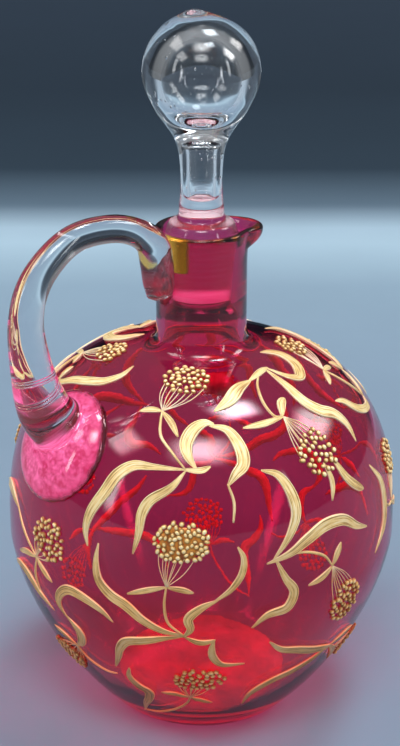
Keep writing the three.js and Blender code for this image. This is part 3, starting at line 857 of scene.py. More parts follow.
handle = {
    "padArc": 115.5, "padRadius": 18.5, "padThickness": 6.1, "padPower": 2.5, "sunk": 0.3, "blend": 1.5,
    "voxel": 0.65, "sides": 28, "steps": 420,
    # where the soft rod was pressed on to its pad
    "folds": {
        "axis": (-0.42, 0, 0.907), "gap": 1.1, "zone": (20.4, 22.0), "fade": (0.6, 0.7), "wander": 0.8,
        "height": 2.6,
    },
    # the rod: (out from the neck, up from the rim, radius),
    # then (out from the pad, share of the rise, radius)
    "neckPoints": [
        (1.6, -18.8, 4.2), (1.9, -14.4, 5.2), (2.6, -8.4, 5.4), (4.6, -1.8, 5), (10, 2.6, 4.4),
        (19, 5.6, 4.3),
    ],
    "outerPoints": [
        (-7, 1.084, 4.35), (3.6, 0.963, 4.7), (8.4, 0.84, 5.05), (10.2, 0.697, 5.35), (9.8, 0.562, 5.9),
        (8.6, 0.428, 6.6), (7, 0.31, 7.5), (4.2, 0.192, 8.5), (-2, 0.057, 9),
    ],
}
padPlace = onGlobe(180, handle["padArc"], 0)
padNormal = onGlobe(180, handle["padArc"], 1) - padPlace
handleGlass = makeGlass("handleGlass", "clear", 70.0, folds={**handle["folds"], "foot": tuple(padPlace)})


# the rod's middle line and its thickness along it
def rodLine():
    rise = neck["rim"] - padPlace[2]
    points = [(-(neck["radius"] + out), 0, neck["rim"] + up) for out, up, _ in handle["neckPoints"]]
    points += [(padPlace[0] - out, 0, padPlace[2] + share * rise) for out, share, _ in handle["outerPoints"]]
    radii = [row[2] for row in handle["neckPoints"] + handle["outerPoints"]]
    return smoothLine(points, handle["steps"]), smoothLine(list(enumerate(radii)), handle["steps"])[:, 1]


# how far points stand off the rod, and the way out
def offRod(at, line, thick):
    distance, outward = np.empty(len(at)), np.empty((len(at), 3))
    run = np.diff(line, axis=0)
    for part in np.array_split(np.arange(len(at)), max(1, len(at) // 1500)):
        share, gap = spanGaps(at[part], line[:-1], run)
        far = np.sqrt((gap**2).sum(2))
        off = far - thick[:-1] - share * np.diff(thick)
        rows, nearest = np.arange(len(part)), off.argmin(1)
        distance[part] = off[rows, nearest]
        outward[part] = gap[rows, nearest] / np.maximum(far[rows, nearest], 1e-6)[:, None]
    return distance, outward


# the same for the round pad that lies on the glass
def offPad(at, height, up):
    rel = at - padPlace
    across = rel - (rel @ padNormal)[:, None] * padNormal
    away = np.maximum(np.sqrt((across**2).sum(1)), 1e-6)
    power = handle["padPower"]
    a = np.maximum(away / handle["padRadius"], 1e-4)
    b = np.maximum(np.abs(height) / handle["padThickness"], 1e-4)
    level = (a**power + b**power) ** (1 / power)
    slopeA = (a / level) ** (power - 1) / handle["padRadius"]
    slopeB = (b / level) ** (power - 1) / handle["padThickness"] * np.sign(height)
    slope = across / away[:, None] * slopeA[:, None] + up * slopeB[:, None]
    steep = np.maximum(np.sqrt((slope**2).sum(1)), 1e-4)
    return (level - 1) / steep, slope / steep[:, None]


# moves points on to the glass of rod and pad, blended where they meet and flat where they lie on the vessel
def settle(at, line, thick):
    height, up = offGlass(at)
    rod, rodOut = offRod(at, line, thick)
    disc, discOut = offPad(at, height, up)
    mix = np.clip(0.5 + 0.5 * (disc - rod) / handle["blend"], 0, 1)
    level = disc * (1 - mix) + rod * mix - handle["blend"] * mix * (1 - mix)
    out = discOut * (1 - mix)[:, None] + rodOut * mix[:, None]
    out /= np.maximum(np.linalg.norm(out, axis=1), 1e-6)[:, None]
    under = -(height + handle["sunk"]) > level
    level = np.where(under, -(height + handle["sunk"]), level)
    out = np.where(under[:, None], -up, out)
    return at - out * np.clip(level, -0.6, 0.6)[:, None]


def roughRod(line, thick):
    tangent = np.gradient(line, axis=0)
    tangent /= np.linalg.norm(tangent, axis=1)[:, None]
    side = np.array([0, 1, 0])
    flat = np.cross(side, tangent)
    sides = handle["sides"]
    turn = np.linspace(0, 2 * math.pi, sides, endpoint=False)
    spokes = np.cos(turn)[None, :, None] * side + np.sin(turn)[None, :, None] * flat[:, None]
    verts = (line[:, None] + thick[:, None, None] * spokes).reshape(-1, 3)
    height, up = offGlass(verts)
    verts = verts + up * np.maximum(-handle["sunk"] - height, 0)[:, None]
    last = (len(line) - 1) * sides
    ends = [list(range(sides))[::-1], [last + j for j in range(sides)]]
    return verts, gridFaces(len(line), sides) + ends


def roughPad():
    wide, thick = handle["padRadius"], handle["padThickness"]
    bend = np.linspace(0, math.pi / 2 - 0.05, 14)
    blob, faces = revolve([
        (0, -handle["sunk"] - 0.7), (wide * 0.97, -0.9),
        *[(wide * math.cos(a), thick * math.sin(a)) for a in bend], (0, thick),
    ], 64)
    east = np.array([0, 1, 0])
    spread = padPlace + blob[:, :1] * east + blob[:, 1:2] * np.cross(padNormal, east)
    lifted = spread + blob[:, 2:] * padNormal
    height, up = offGlass(lifted)
    return lifted + up * ((lifted - spread) @ padNormal - height)[:, None], faces


# the mean of each point's neighbours
def neighbourMean(at, pairs, links):
    total = np.zeros_like(at)
    for axis in range(3):
        total[:, axis] = np.bincount(pairs[:, 0], at[pairs[:, 1], axis], len(at))
        total[:, axis] += np.bincount(pairs[:, 1], at[pairs[:, 0], axis], len(at))
    return total / links[:, None]


# a rough rod and pad are melted together by a voxel remesh, then drawn on to the true shape
def makeHandle():
    line, thick = rodLine()
    shape = newShape()
    addTo(shape, *roughRod(line, thick))
    addTo(shape, *roughPad())
    piece = addMesh("handleGlass", shape["verts"], shape["faces"], [handleGlass])
    melt = piece.modifiers.new("melt", "REMESH")
    melt.mode = "VOXEL"
    melt.voxel_size = handle["voxel"] * mm
    graph = bpy.context.evaluated_depsgraph_get()
    melted = bpy.data.meshes.new_from_object(piece.evaluated_get(graph), depsgraph=graph)
    piece.modifiers.clear()
    piece.data = melted

    count = len(melted.vertices)
    at = np.empty(count * 3)
    melted.vertices.foreach_get("co", at)
    at = at.reshape(-1, 3) / mm
    pairs = np.empty(len(melted.edges) * 2, int)
    melted.edges.foreach_get("vertices", pairs)
    pairs = pairs.reshape(-1, 2)
    links = np.bincount(pairs.ravel(), minlength=count)
    for smoothing in (0.6,) * 7 + (0, 0):
        at = at * (1 - smoothing) + neighbourMean(at, pairs, links) * smoothing
        at = settle(at, line, thick)
    for weight in (0.5, -0.52, 0.5, -0.52):  # smooths without shrinking
        at = at + weight * (neighbourMean(at, pairs, links) - at)
    melted.vertices.foreach_set("co", (at * mm).ravel())
    melted.polygons.foreach_set("use_smooth", [True] * len(melted.polygons))
    melted.update()
    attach(piece, "decanter_body")
    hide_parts("handle")


makeHandle()
print("handle drawn")


# the crinkled skins where the hot handle was stuck on: a bright one under the pad, a dark one under the drop;
# painted shade darkens their folds, their rims and a spot on each

seat = {
    "lift": 0.12, "thick": 0.05, "rings": 18, "around": 64,
    "pad": {
        "radius": 17.6, "tone": (0.86, 0.13, 0.33), "deep": (0.50, 0.015, 0.09), "shadeSpot": (0.10, 0.002, 0.005),
        "pits": 900.0,
    },
    "drop": {
        "middle": -14.4, "half": (5.6, 9.6), "shift": 0.06, "tone": (0.34, 0.003, 0.02),
        "deep": (0.08, 0.002, 0.006), "shadeSpot": (0.26, 0.003, 0.02), "pits": 700.0,
    },
}


# folds and pits in the glass, with painted shade along the folds and between the pits, towards the rim and in
# a darker spot; Edge is how far out a point lies and how near it is to that spot of painted shade
def makeCrinkledSkin():
    group, given = newGroup(
        "crinkledSkin",
        {
            "Edge": None, "Tone": (0.8, 0.1, 0.3), "Deep": (0.4, 0.01, 0.1), "Core": (0.1, 0.01, 0.01),
            "Pits": 800.0,
        },
        {"Color": "Color", "Roughness": "Float", "Height": "Float", "Kept": "Float"},
    )
    where = objectPlace(group)
    fold = noise(group, where, calc(group, "MULTIPLY", given["Pits"], 0.3), 4.0, 0.55, 0.8)
    voronoi = addNode(group, "TexVoronoi", {"feature": "SMOOTH_F1"}, Vector=where, Scale=given["Pits"])
    pit = voronoi.outputs["Distance"]
    both = calc(group, "MULTIPLY_ADD", pit, 0.35, fold)
    edge = apart(group, given["Edge"])
    # painted shade along the folds and between the pits
    tone = mixTone(group, ramp(group, both, [(0.48, 0.0), (0.82, 1.0)]), given["Tone"], given["Deep"])
    # painted shade towards the rim
    tone = mixTone(group, ramp(group, edge["X"], [(0.62, 0.0), (1.0, 0.75)]), tone, given["Deep"])
    # painted shade: a darker spot, which under the pad lies where the rod comes down on it
    tone = mixTone(group, ramp(group, edge["Y"], [(0.25, 0.0), (0.75, 1.0)]), tone, given["Core"])
    rough = ramp(group, pit, [(0.1, 0.25), (0.7, 0.5)])
    torn = calc(group, "MULTIPLY_ADD", fold, 0.10, edge["X"])
    kept = ramp(group, torn, [(0.92, 1.0), (1.04, 0.0)])
    return closeGroup(group, Color=tone, Roughness=rough, Height=both, Kept=kept)


crinkledSkin = makeCrinkledSkin()


def makeSkin(name, values):
    material, tree = newMaterial(name)
    skin = placeGroup(
        tree, crinkledSkin, Edge=uvPlace(tree, "skinEdge"), Tone=values["tone"], Deep=values["deep"],
        Core=values["shadeSpot"], Pits=values["pits"],
    )
    finishMaterial(
        tree, Base_Color=skin["Color"], Roughness=skin["Roughness"], Alpha=skin["Kept"],
        Specular_IOR_Level=0.2, Normal=bump(tree, skin["Height"], 0.7, 0.0004),
    )
    return material


# a thin round skin: place(x, y, lift) puts a spot of the unit disc on the glass
def makeSeat(name, kind, place):
    rings, around = seat["rings"], seat["around"]
    spots, uv = [], []
    for away in [0.01, *np.linspace(0, 1, rings + 1)[1:]]:
        for turn in np.linspace(0, 2 * math.pi, around, endpoint=False):
            x, y = away * math.cos(turn), away * math.sin(turn)
            spots.append((x, y))
            # the second share marks the spot of painted shade
            uv.append((away, min(1, max(0, 1.6 - 1.1 * math.hypot((x + 0.5) / 0.6, (y - 0.42) / 0.2)))))
    sheet = gridFaces(rings + 1, around) + [list(range(around))]
    shape = newShape()
    for lift in (seat["lift"] + seat["thick"], seat["lift"]):
        addTo(shape, [place(x, y, lift) for x, y in spots], sheet, uv=uv)
    edge = [rings * around + j for j in range(around)]
    shape["faces"] += [[a, b, b + len(spots), a + len(spots)] for a, b in zip(edge, edge[1:] + edge[:1])]
    piece = addMesh(name, shape["verts"], shape["faces"], [makeSkin(name + "Skin", seat[kind])])
    layUV(piece, "skinEdge", shape["uv"])
    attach(piece, "decanter_body")


def onPad(x, y, lift):
    arc, reach = handle["padArc"], seat["pad"]["radius"]
    return onGlobe(180 + math.degrees(x * reach / radiusAt(arc)), arc + y * reach, lift)


def onNeck(x, y, lift):
    halfWidth, halfHeight = seat["drop"]["half"]
    turn = math.pi - seat["drop"]["shift"] - x * halfWidth / neck["radius"]
    radius, height = neck["radius"] + lift, neck["rim"] + seat["drop"]["middle"] + y * halfHeight
    return (radius * math.cos(turn), radius * math.sin(turn), height)


makeSeat("padSeat", "pad", onPad)
makeSeat("dropSeat", "drop", onNeck)
print("handle's seats laid")


# gilding, worn thin, on the neck beside the handle and along the rim

gilding = {
    "thick": 0.03, "sunk": 0.01,
    "neckGilding": {
        "drop": 11.4, "from": -206, "to": -137, "steps": 70, "over": 0.8, "kept": (0.62, 1.0), "brown": 0.0,
    },
    "rimGilding": {
        "drop": 1.5, "from": -137, "to": 154, "steps": 150, "over": 0.5, "kept": (0.66, 0.70), "brown": 0.9,
    },
    "gold": (1.0, 0.63, 0.13), "dull": (0.80, 0.44, 0.07), "rough": 0.16, "wear": 190.0,
}


def makeGiltMaterial():
    material, tree = newMaterial("rubbedGilding")
    where = objectPlace(tree)
    band = apart(tree, uvPlace(tree, "bandLines"))
    coarse = noise(tree, where, gilding["wear"], 6.0, 0.62)
    fine = noise(tree, where, gilding["wear"] * 6, 3.0, 0.6)
    tone = mixTone(tree, ramp(tree, coarse, [(0.30, 0.0), (0.5, 1.0)]), gilding["dull"], gilding["gold"])
    # it grows browner away from the handle
    browner = ramp(tree, band["X"], [
        (0.46, (1.0, 1.0, 1.0)), (0.60, (0.85, 0.66, 0.44)), (0.76, (0.44, 0.26, 0.13)),
    ])
    rough = calc(tree, "ADD", ramp(tree, fine, [(0.3, 0.12), (0.7, 0.0)]), gilding["rough"])
    left = calc(tree, "MULTIPLY_ADD", coarse, 0.3, band["Y"])
    finishMaterial(
        tree, Base_Color=mixTone(tree, 1.0, tone, browner, "MULTIPLY"), Roughness=rough, Metallic=0.9,
        Alpha=ramp(tree, left, [(0.86, 0.0), (1.0, 1.0)]), Normal=bump(tree, fine, 0.1, 0.00003),
    )
    return material


giltMaterial = makeGiltMaterial()


# a thin shell over a patch of the neck
def makeGilding(name):
    band = gilding[name]
    least, most = band["kept"]
    lipEdge = neck["rim"] - neck["lipRound"]
    down = [(neck["radius"], z) for z in np.linspace(neck["rim"] - band["drop"], lipEdge, 26)]
    section = np.array(down + lipCurve(np.linspace(0, math.pi * band["over"], 12)[1:]))
    slope = np.gradient(section, axis=0)
    slope /= np.linalg.norm(slope, axis=1)[:, None]
    out = np.column_stack([slope[:, 1], -slope[:, 0]])
    turns = np.radians(np.linspace(band["from"], band["to"], band["steps"]))
    rows, columns = len(turns), len(section)
    uv = []  # how far along, and how much is left: it fades to the right and at the lower edge
    for along in np.linspace(0, 1, rows):
        for i in range(columns):
            fade = min(1, (1 - along) / 0.22, along / 0.06) * min(1, i / (len(down) - 1) / 0.06)
            uv.append((max(along, band["brown"]), least + (most - least) * fade))
    shape = newShape()
    for lift in (gilding["thick"], -gilding["sunk"]):
        verts = [
            (radius * math.cos(turn), radius * math.sin(turn), height)
            for turn in turns for radius, height in section + out * lift
        ]
        addTo(shape, verts, gridFaces(rows, columns, closed=False), uv=uv)
    sheet = rows * columns
    edge = [k * columns for k in range(rows)] + [sheet - columns + i for i in range(1, columns)]
    edge += [k * columns + columns - 1 for k in range(rows - 2, -1, -1)] + list(range(columns - 2, 0, -1))
    shape["faces"] += [[a, b, b + sheet, a + sheet] for a, b in zip(edge, edge[1:] + edge[:1])]
    piece = addMesh(name, pullSpout(np.array(shape["verts"])), shape["faces"], [giltMaterial])
    layUV(piece, "bandLines", shape["uv"])
    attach(piece, "decanter_body")


makeGilding("neckGilding")
makeGilding("rimGilding")
print("neck gilded")


# raised enamel

enamel = {
    "front": -127, "sunk": 0.06, "step": 0.75, "leafHeight": 0.62, "stemHeight": 0.55, "stalkWidth": 0.3,
    "stalkHeight": 0.3, "beadRadius": 0.9, "beadGap": 1.58, "groundGap": 1.34, "groundSides": 28,
    "tries": 1500, "lobes": 7, "nearBeads": 16, "thinStroke": 1.35, "narrowLeaf": 1.75,
}

# places are (degrees right of the band's middle, millimetres up the side)
# each spray starts with its head: its middle, its half size and the node that its stalks come from
# after it come the strokes, each with its widest and then its places
sprays = {
    "upper": [
        ((-9.7, 149.4), (8.4, 7.4), (-17, 135.3)),
        (3.8, (-5, 117), (-16, 117), (-22, 116.5), (-26.5, 113), (-29.5, 107), (-33, 100), (-34, 94),
         (-33, 89)),
        (3.2, (-5, 116.5), (-9, 111.5), (-15, 107), (-17, 103), (-17.5, 97), (-19, 90)),
        (4.2, (-1.5, 117.2), (-4.4, 121), (-5.4, 125), (-3.2, 129.4), (1, 131.8), (5, 131.6)),
        (4, (2.6, 131.2), (10, 129), (13.5, 123), (13.5, 118), (10.5, 115), (8, 112)),
        (1.2, (8, 112.6), (9.5, 107), (9, 101)),
        (1.2, (-5, 117), (-10, 122), (-15, 127), (-16.5, 132), (-17, 135.3)),
        (1.9, (-17, 135.3), (-22, 135.2), (-27, 134)),
        (1.9, (-17, 135.3), (-12, 131.5), (-8.5, 127)),
        (1.8, (-6, 117), (0, 116.8), (3, 118)),
    ],
    "lower": [
        ((-5.4, 95), (9.2, 7.2), (-9.5, 80.5)),
        (3.4, (-5, 63.5), (-10, 64.5), (-16, 68), (-21, 72.5), (-25.5, 75), (-29, 79), (-30, 85),
         (-29.5, 91)),
        (3.2, (-5, 63), (-11, 61.5), (-16.5, 59.5), (-22, 57.5), (-24.5, 54), (-26.5, 48), (-29, 42)),
        (2.8, (-5, 62.6), (-3, 66), (-3.5, 70), (0, 74), (4.5, 76.5)),
        (2, (3.2, 75.8), (8, 80), (11, 85), (11.5, 90), (10, 93.5)),
        (1.2, (-5, 63.5), (-9, 68), (-10, 74), (-9.5, 80.5)),
        (1.7, (-9.5, 80.5), (-13, 79.5), (-17, 78), (-20.5, 76.5)),
        (1.7, (-9.5, 80.5), (-5, 80), (-2, 79)),
        (1.9, (-4.5, 62.6), (0, 60.6), (4, 61.5)),
        (2.4, (3.6, 61.6), (3, 57.8), (3.4, 54), (6, 50), (13.3, 49)),
    ],
    "right_shoulder": [
        ((40.7, 116.5), (7.6, 7.8), (34, 130.6)),
        (4.4, (5.5, 136), (13, 139.5), (20, 144), (31, 147)),
        (2.2, (29, 146.6), (41, 149), (50.5, 149.8)),
        (4.2, (47, 149.8), (47, 141), (48, 133), (52, 128), (57.5, 124.6), (60, 119.6), (60, 113.5)),
        (3.8, (49, 149.8), (54, 143), (59, 140.6), (64, 142), (71, 146), (74, 151), (71, 154.6),
         (67, 156.5)),
        (1.3, (38.5, 148.4), (31.7, 143.5), (29, 137), (30.5, 131.5), (34, 130.6)),
        (2.1, (34.5, 130.6), (24, 129.6), (16, 129.4)),
        (2.8, (33.5, 130.4), (37, 135), (40.5, 136.5)),
        (2.8, (45, 115), (48.5, 106), (53, 101), (55.5, 99.4)),
        (1.6, (41.5, 113), (42.4, 107), (41, 101)),
    ],
    "right_middle": [
        ((45, 65.3), (7, 8), (39, 80.3)),
        (3.4, (19, 115.6), (24, 113.4), (27.3, 107), (27.8, 101), (25, 94.6), (20, 88)),
        (4, (18, 87), (25, 89), (30.6, 92), (37.3, 94.6), (44, 93.8), (49.6, 89.6), (54.7, 87)),
        (1.2, (25, 88.8), (30.6, 87.8), (36.2, 84.6), (39, 80.3)),
        (1.8, (39, 80.3), (35, 77.8), (30.6, 76.5)),
        (2, (39, 80.3), (40.7, 84), (42.5, 87)),
        (3.2, (20.5, 88.2), (23.5, 81), (26, 76), (24, 71), (18.3, 69.6), (14, 65.3)),
    ],
    "left_middle": [
        ((-47.7, 85.3), (8.5, 7.5), (-54, 76.5)),
        (1.8, (-54, 76.5), (-60, 75.5), (-65.6, 73)),
        (1.8, (-54, 76.5), (-50, 73.5), (-46.6, 71)),
        (1.2, (-54, 76.5), (-54.8, 70), (-54, 63)),
        (3.2, (-76, 63), (-65.6, 67.8), (-60, 67), (-54.4, 63), (-49, 58.5)),
        (1.2, (-54, 76.5), (-61, 82), (-66.7, 87.8)),
        (3.2, (-66, 87.4), (-73.5, 90), (-80, 89.6), (-86, 86)),
    ],
    "left_low": [
        ((-53, 36), (8, 6.6), (-43.8, 45.3)),
        (3.2, (-25.3, 64.6), (-28.7, 68.4), (-34.3, 71), (-40, 71.5), (-43.8, 68), (-44.9, 63.4),
         (-42.5, 58)),
        (3.4, (-43, 59.5), (-39.2, 55), (-40, 49.5), (-43.8, 45.3)),
        (1.3, (-43.8, 45.6), (-41, 40.3), (-34.3, 37), (-29.8, 37.5)),
        (1.8, (-43.8, 45.3), (-49, 48.5), (-54, 49)),
    ],
    "bottom": [
        ((-0.7, 41.3), (8.7, 6.8), (-4, 29.6)),
        (3.2, (-23.7, 43.4), (-24.8, 38.4), (-22.5, 33.4), (-19.5, 30.5), (-20.3, 25.9), (-23.7, 19.6),
         (-27, 12.8)),
        (1.2, (-4, 29.6), (-5.2, 25.9), (-9.7, 20.3), (-18.6, 14.6), (-27.5, 12.4)),
        (1.7, (-4, 29.6), (-9.7, 31.8), (-14.5, 31.3)),
        (1.7, (-4, 29.6), (-0.7, 28.4), (4.3, 25.6)),
    ],
    "right_low": [
        ((66, 34), (7.4, 6.6), (52, 40)),
        (3, (20, 57.8), (24, 53.4), (30.6, 50.3), (37.3, 47), (45, 44), (48.5, 42.6)),
        (3, (16.6, 22), (18.3, 30), (24, 35.3), (33, 38.4), (40.7, 41.5), (47, 44)),
        (2.4, (47, 43.6), (52, 38), (55, 31)),
        (1.7, (47, 43.6), (54, 46), (60, 45)),
    ],
    "crown": [
        ((95, 147.6), (6.8, 6), (79.5, 136)),
        (3, (64, 127.4), (67.5, 125.8), (72, 121), (77.6, 118), (84, 117), (88, 119.4)),
        (1.3, (79.5, 136), (81.5, 130), (84.5, 124), (87.5, 118.6)),
        (1.9, (79.5, 136), (75, 134), (71, 132)),
        (1.9, (79.2, 136), (84, 134.9), (88, 133.6)),
        (1.5, (87, 118.8), (91, 123), (95, 128.8)),
        (2.2, (95, 128), (93.4, 131.6), (92.4, 134)),
        (3.4, (94, 127.8), (100, 129), (106.5, 133), (116.6, 136.8), (124.5, 139.8), (129, 144.5),
         (127.3, 150)),
    ],
    "right_edge": [
        ((79, 99.6), (7, 7), (75.5, 85)),
        (3.2, (62, 104.5), (66.4, 97), (67, 88.4), (65.3, 82), (59.5, 75)),
        (1.2, (67, 90), (71, 86), (76, 85)),
        (1.8, (75.5, 85), (80, 82.5), (85, 82)),
    ],
}

# the spray that fills the shoulder under the spout, where the other side has the handle's pad
spoutSpray = [
    ((-52, 122), (8, 7), (-54, 110)),
    (1.2, (-58, 98), (-55.5, 104), (-54, 110)),
    (1.8, (-53.6, 109.8), (-59, 110.5), (-63, 109.5)),
    (1.8, (-54.4, 110.2), (-50, 108.5), (-47, 109)),
    (3.6, (-58, 98), (-64, 102), (-70, 106.5), (-74, 113.5), (-73, 121)),
    (3.4, (-58, 98), (-50, 98.6), (-44, 102), (-40, 109), (-40.5, 117)),
]


# the tones from high to low in the paste, brush lines across and along, how metallic, and its relief
pasteSet = {
    "leafPaste": {
        "light": (1.0, 0.84, 0.52), "middle": (0.93, 0.64, 0.24), "deep": (0.40, 0.20, 0.06),
        "lines": 8.5, "run": 0.1, "metal": 0.1, "relief": 0.16, "outline": 0.42,
    },
    "beadPaste": {
        "light": (1.0, 0.84, 0.52), "middle": (0.93, 0.64, 0.24), "deep": (0.40, 0.20, 0.06),
        "lines": 2.0, "run": 1.0, "metal": 0.15, "relief": 0.05, "outline": 0.0,
    },
    "stalkPaste": {
        "light": (1.0, 0.86, 0.66), "middle": (0.88, 0.68, 0.44), "deep": (0.93, 0.64, 0.24),
        "lines": 2.0, "run": 0.4, "metal": 0.05, "relief": 0.03, "outline": 0.0,
    },
    "groundPaste": {
        "light": (0.85, 0.42, 0.08), "middle": (0.75, 0.25, 0.03), "deep": (0.35, 0.10, 0.02),
        "lines": 5.0, "run": 1.0, "metal": 0.2, "relief": 0.08, "outline": 0.0,
    },
    "underPaste": {
        "light": (1.0, 0.86, 0.66), "middle": (0.88, 0.64, 0.42), "deep": (0.7, 0.45, 0.28),
        "lines": 5.0, "run": 0.3, "metal": 0.0, "relief": 0.05, "outline": 0.0,
    },
}
leafSlot, beadSlot, stalkSlot, groundSlot, underSlot = range(5)  # the order of the pastes


# painted paste: lengthwise brush lines or grains, a deeper tone in the hollows, in a soft gold, with painted
# shade that makes it darker and browner low on the globe
def makePasteTone():
    group, given = newGroup(
        "pasteTone",
        {
            "Place": None, "Light": (0.85, 0.7, 0.45), "Middle": (0.7, 0.5, 0.25), "Deep": (0.3, 0.15, 0.06),
            "Lines": 9.0, "Run": 0.35, "Shift": 0.0, "Outline": 0.0,
        },
        {"Color": "Color", "Height": "Float", "Roughness": "Float"},
    )
    place, where = apart(group, given["Place"]), objectPlace(group)
    across = calc(group, "MULTIPLY", place["X"], given["Lines"])
    along = calc(group, "MULTIPLY", place["Y"], given["Run"])
    brush = noise(group, addNode(group, "CombineXYZ", X=across, Y=along).outputs["Vector"], 1.0, 3.0, 0.55)
    patch = noise(group, where, 140.0, 3.0, 0.55)
    grain = noise(group, where, 1600.0, 2.0, 0.6)
    level = calc(group, "ADD", brush, calc(group, "MULTIPLY_ADD", patch, 0.45, given["Shift"]))
    # a pale raised outline with a dark line inside it
    toEdge = calc(group, "ABSOLUTE", calc(group, "SUBTRACT", place["X"], 0.5))
    line = ramp(group, toEdge, [(0.29, 0.5), (0.345, 0.0), (0.39, 0.72), (0.47, 1.0)])
    level = calc(group, "MULTIPLY_ADD", calc(group, "SUBTRACT", line, 0.5), given["Outline"], level)
    tone = mixTone(group, ramp(group, level, [(0.54, 0.0), (0.70, 1.0)]), given["Deep"], given["Middle"])
    tone = mixTone(group, ramp(group, level, [(0.70, 0.0), (0.90, 1.0)]), tone, given["Light"])
    # painted shade: low on the globe the paste is made darker and browner, as less light reaches it there
    height = mapRange(group, apart(group, where)["Z"], 0.025, 0.095)
    lowShade = ramp(group, height, [
        (0.0, (0.78, 0.50, 0.36)), (0.45, (0.94, 0.74, 0.56)), (1.0, (1.0, 1.0, 1.0)),
    ])
    tone = mixTone(group, 1.0, tone, lowShade, "MULTIPLY")
    relief = calc(group, "MULTIPLY_ADD", grain, 0.25, brush)
    rough = calc(group, "MULTIPLY_ADD", grain, 0.25, 0.2)
    return closeGroup(group, Color=tone, Height=relief, Roughness=rough)


pasteTone = makePasteTone()


def makePaste(name, values):
    material, tree = newMaterial(name)
    place = uvPlace(tree, "pasteLines")
    shift = 0.0
    # painted shade round the foot of each bead, and a painted highlight towards its top
    if name == "beadPaste":  # deeper round the foot of a bead
        footShade = ramp(tree, apart(tree, place)["Y"], [(0.1, 0.0), (0.85, 1.0)])
        shift = calc(tree, "MULTIPLY_ADD", footShade, 0.5, -0.36)
    paste = placeGroup(
        tree, pasteTone, Place=place, Light=values["light"], Middle=values["middle"], Deep=values["deep"],
        Lines=values["lines"], Run=values["run"], Shift=shift, Outline=values["outline"],
    )
    finishMaterial(
        tree, Base_Color=paste["Color"], Roughness=paste["Roughness"], Metallic=values["metal"],
        Normal=bump(tree, paste["Height"], 0.8, values["relief"] * mm),
    )
    return material


pastes = [makePaste(name, values) for name, values in pasteSet.items()]

# sections from side to side: (share of the half width, share of the height)
leafSection = np.array([
    (-1, 0), (-0.93, 0.72), (-0.84, 1.0), (-0.72, 0.82), (-0.5, 0.7), (-0.26, 0.86), (0, 0.7), (0.26, 0.88),
    (0.5, 0.72), (0.72, 0.82), (0.84, 1.0), (0.93, 0.72), (1, 0),
])
narrowSection = leafSection[[0, 1, 2, 4, 6, 8, 10, 11, 12]]
stemSection = np.array([(-1, 0), (-0.8, 0.6), (-0.3, 0.95), (0.3, 0.95), (0.8, 0.6), (1, 0)])
stalkSection = np.array([(-1, 0), (-0.5, 0.9), (0.5, 0.9), (1, 0)])


# a low strip of paste along a path
def layStrip(spray, middle, path, widths, section, heights, slot, phase):
    turn, arc = path[:, 0], path[:, 1]
    radius = radiusAt(arc)
    run = np.gradient(path, axis=0)
    flat = np.column_stack([np.radians(run[:, 0]) * radius, run[:, 1]])
    flat /= np.maximum(np.linalg.norm(flat, axis=1), 1e-9)[:, None]
    steps = np.hypot(np.radians(np.diff(turn)) * radius[1:], np.diff(arc))
    along = np.concatenate([[0], np.cumsum(steps)])
    rows, columns = len(path), len(section)
    offset = section[:, 0] * widths[:, None] / 2
    verts = onGlobe(
        middle + turn[:, None] + np.degrees(flat[:, 1:] * offset / radius[:, None]),
        arc[:, None] - flat[:, :1] * offset, section[:, 1] * heights[:, None] - enamel["sunk"],
    )
    uv = [(0.5 + across / 2, far + 37 * phase) for far in along for across in section[:, 0]]
    ends = [list(range(columns)), [(rows - 1) * columns + j for j in range(columns)][::-1]]
    slots = ([slot] * (columns - 1) + [underSlot]) * (rows - 1) + [slot, slot]
    addTo(spray, verts.reshape(-1, 3), gridFaces(rows, columns) + ends, slots, uv)


def layStroke(spray, middle, widest, path, chance):
    radius = radiusAt(path[len(path) // 2][1])
    flat = np.array([(math.radians(degrees) * radius, arc) for degrees, arc in path])
    length = np.linalg.norm(np.diff(flat, axis=0), axis=1).sum()
    count = max(8, int(length / enamel["step"]))
    t = np.linspace(0, 1, count)
    swell = np.sin(math.pi * t)
    if widest <= enamel["thinStroke"]:
        section = stemSection
        widths = 0.62 + 0.3 * swell * widest
        heights = enamel["stemHeight"] * (0.6 + 0.4 * swell)
    else:
        section = leafSection if widest > enamel["narrowLeaf"] else narrowSection
        widths = 0.5 + (widest - 0.25) * swell**0.9
        heights = enamel["leafHeight"] * (0.62 + 0.38 * np.minimum(1, widths / 2.6))
        heights *= np.minimum(1, 0.35 + 3 * np.minimum(t, 1 - t))
    layStrip(spray, middle, smoothLine(path, count), widths, section, heights, leafSlot, chance.random())


def layBead(spray, middle, degrees, arc, size, chance):
    rings, around = 5, 10
    tone = chance.random()
    stretch, twist = 1 + 0.22 * chance.random(), chance.random() * math.pi
    up = np.repeat(np.linspace(-0.25, math.pi / 2, rings + 1), around)[: rings * around + 1]
    turn = np.arange(len(up)) * 2 * math.pi / around
    x, y = size * np.cos(up) * np.cos(turn) * stretch, size * np.cos(up) * np.sin(turn) / stretch
    x, y = x * math.cos(twist) - y * math.sin(twist), x * math.sin(twist) + y * math.cos(twist)
    lift = size * (0.42 + 0.85 * np.sin(up)) - 0.12
    verts = onGlobe(middle + degrees + np.degrees(x / radiusAt(arc)), arc + y, lift)
    faces = domeFaces(rings, around)
    # the second share is the height up the bead, which the bead paste uses for painted shade at its foot
    uv = [(tone, i // around / rings) for i in range(len(verts))]
    addTo(spray, verts, faces, [beadSlot] * (len(faces) - 1) + [underSlot], uv)


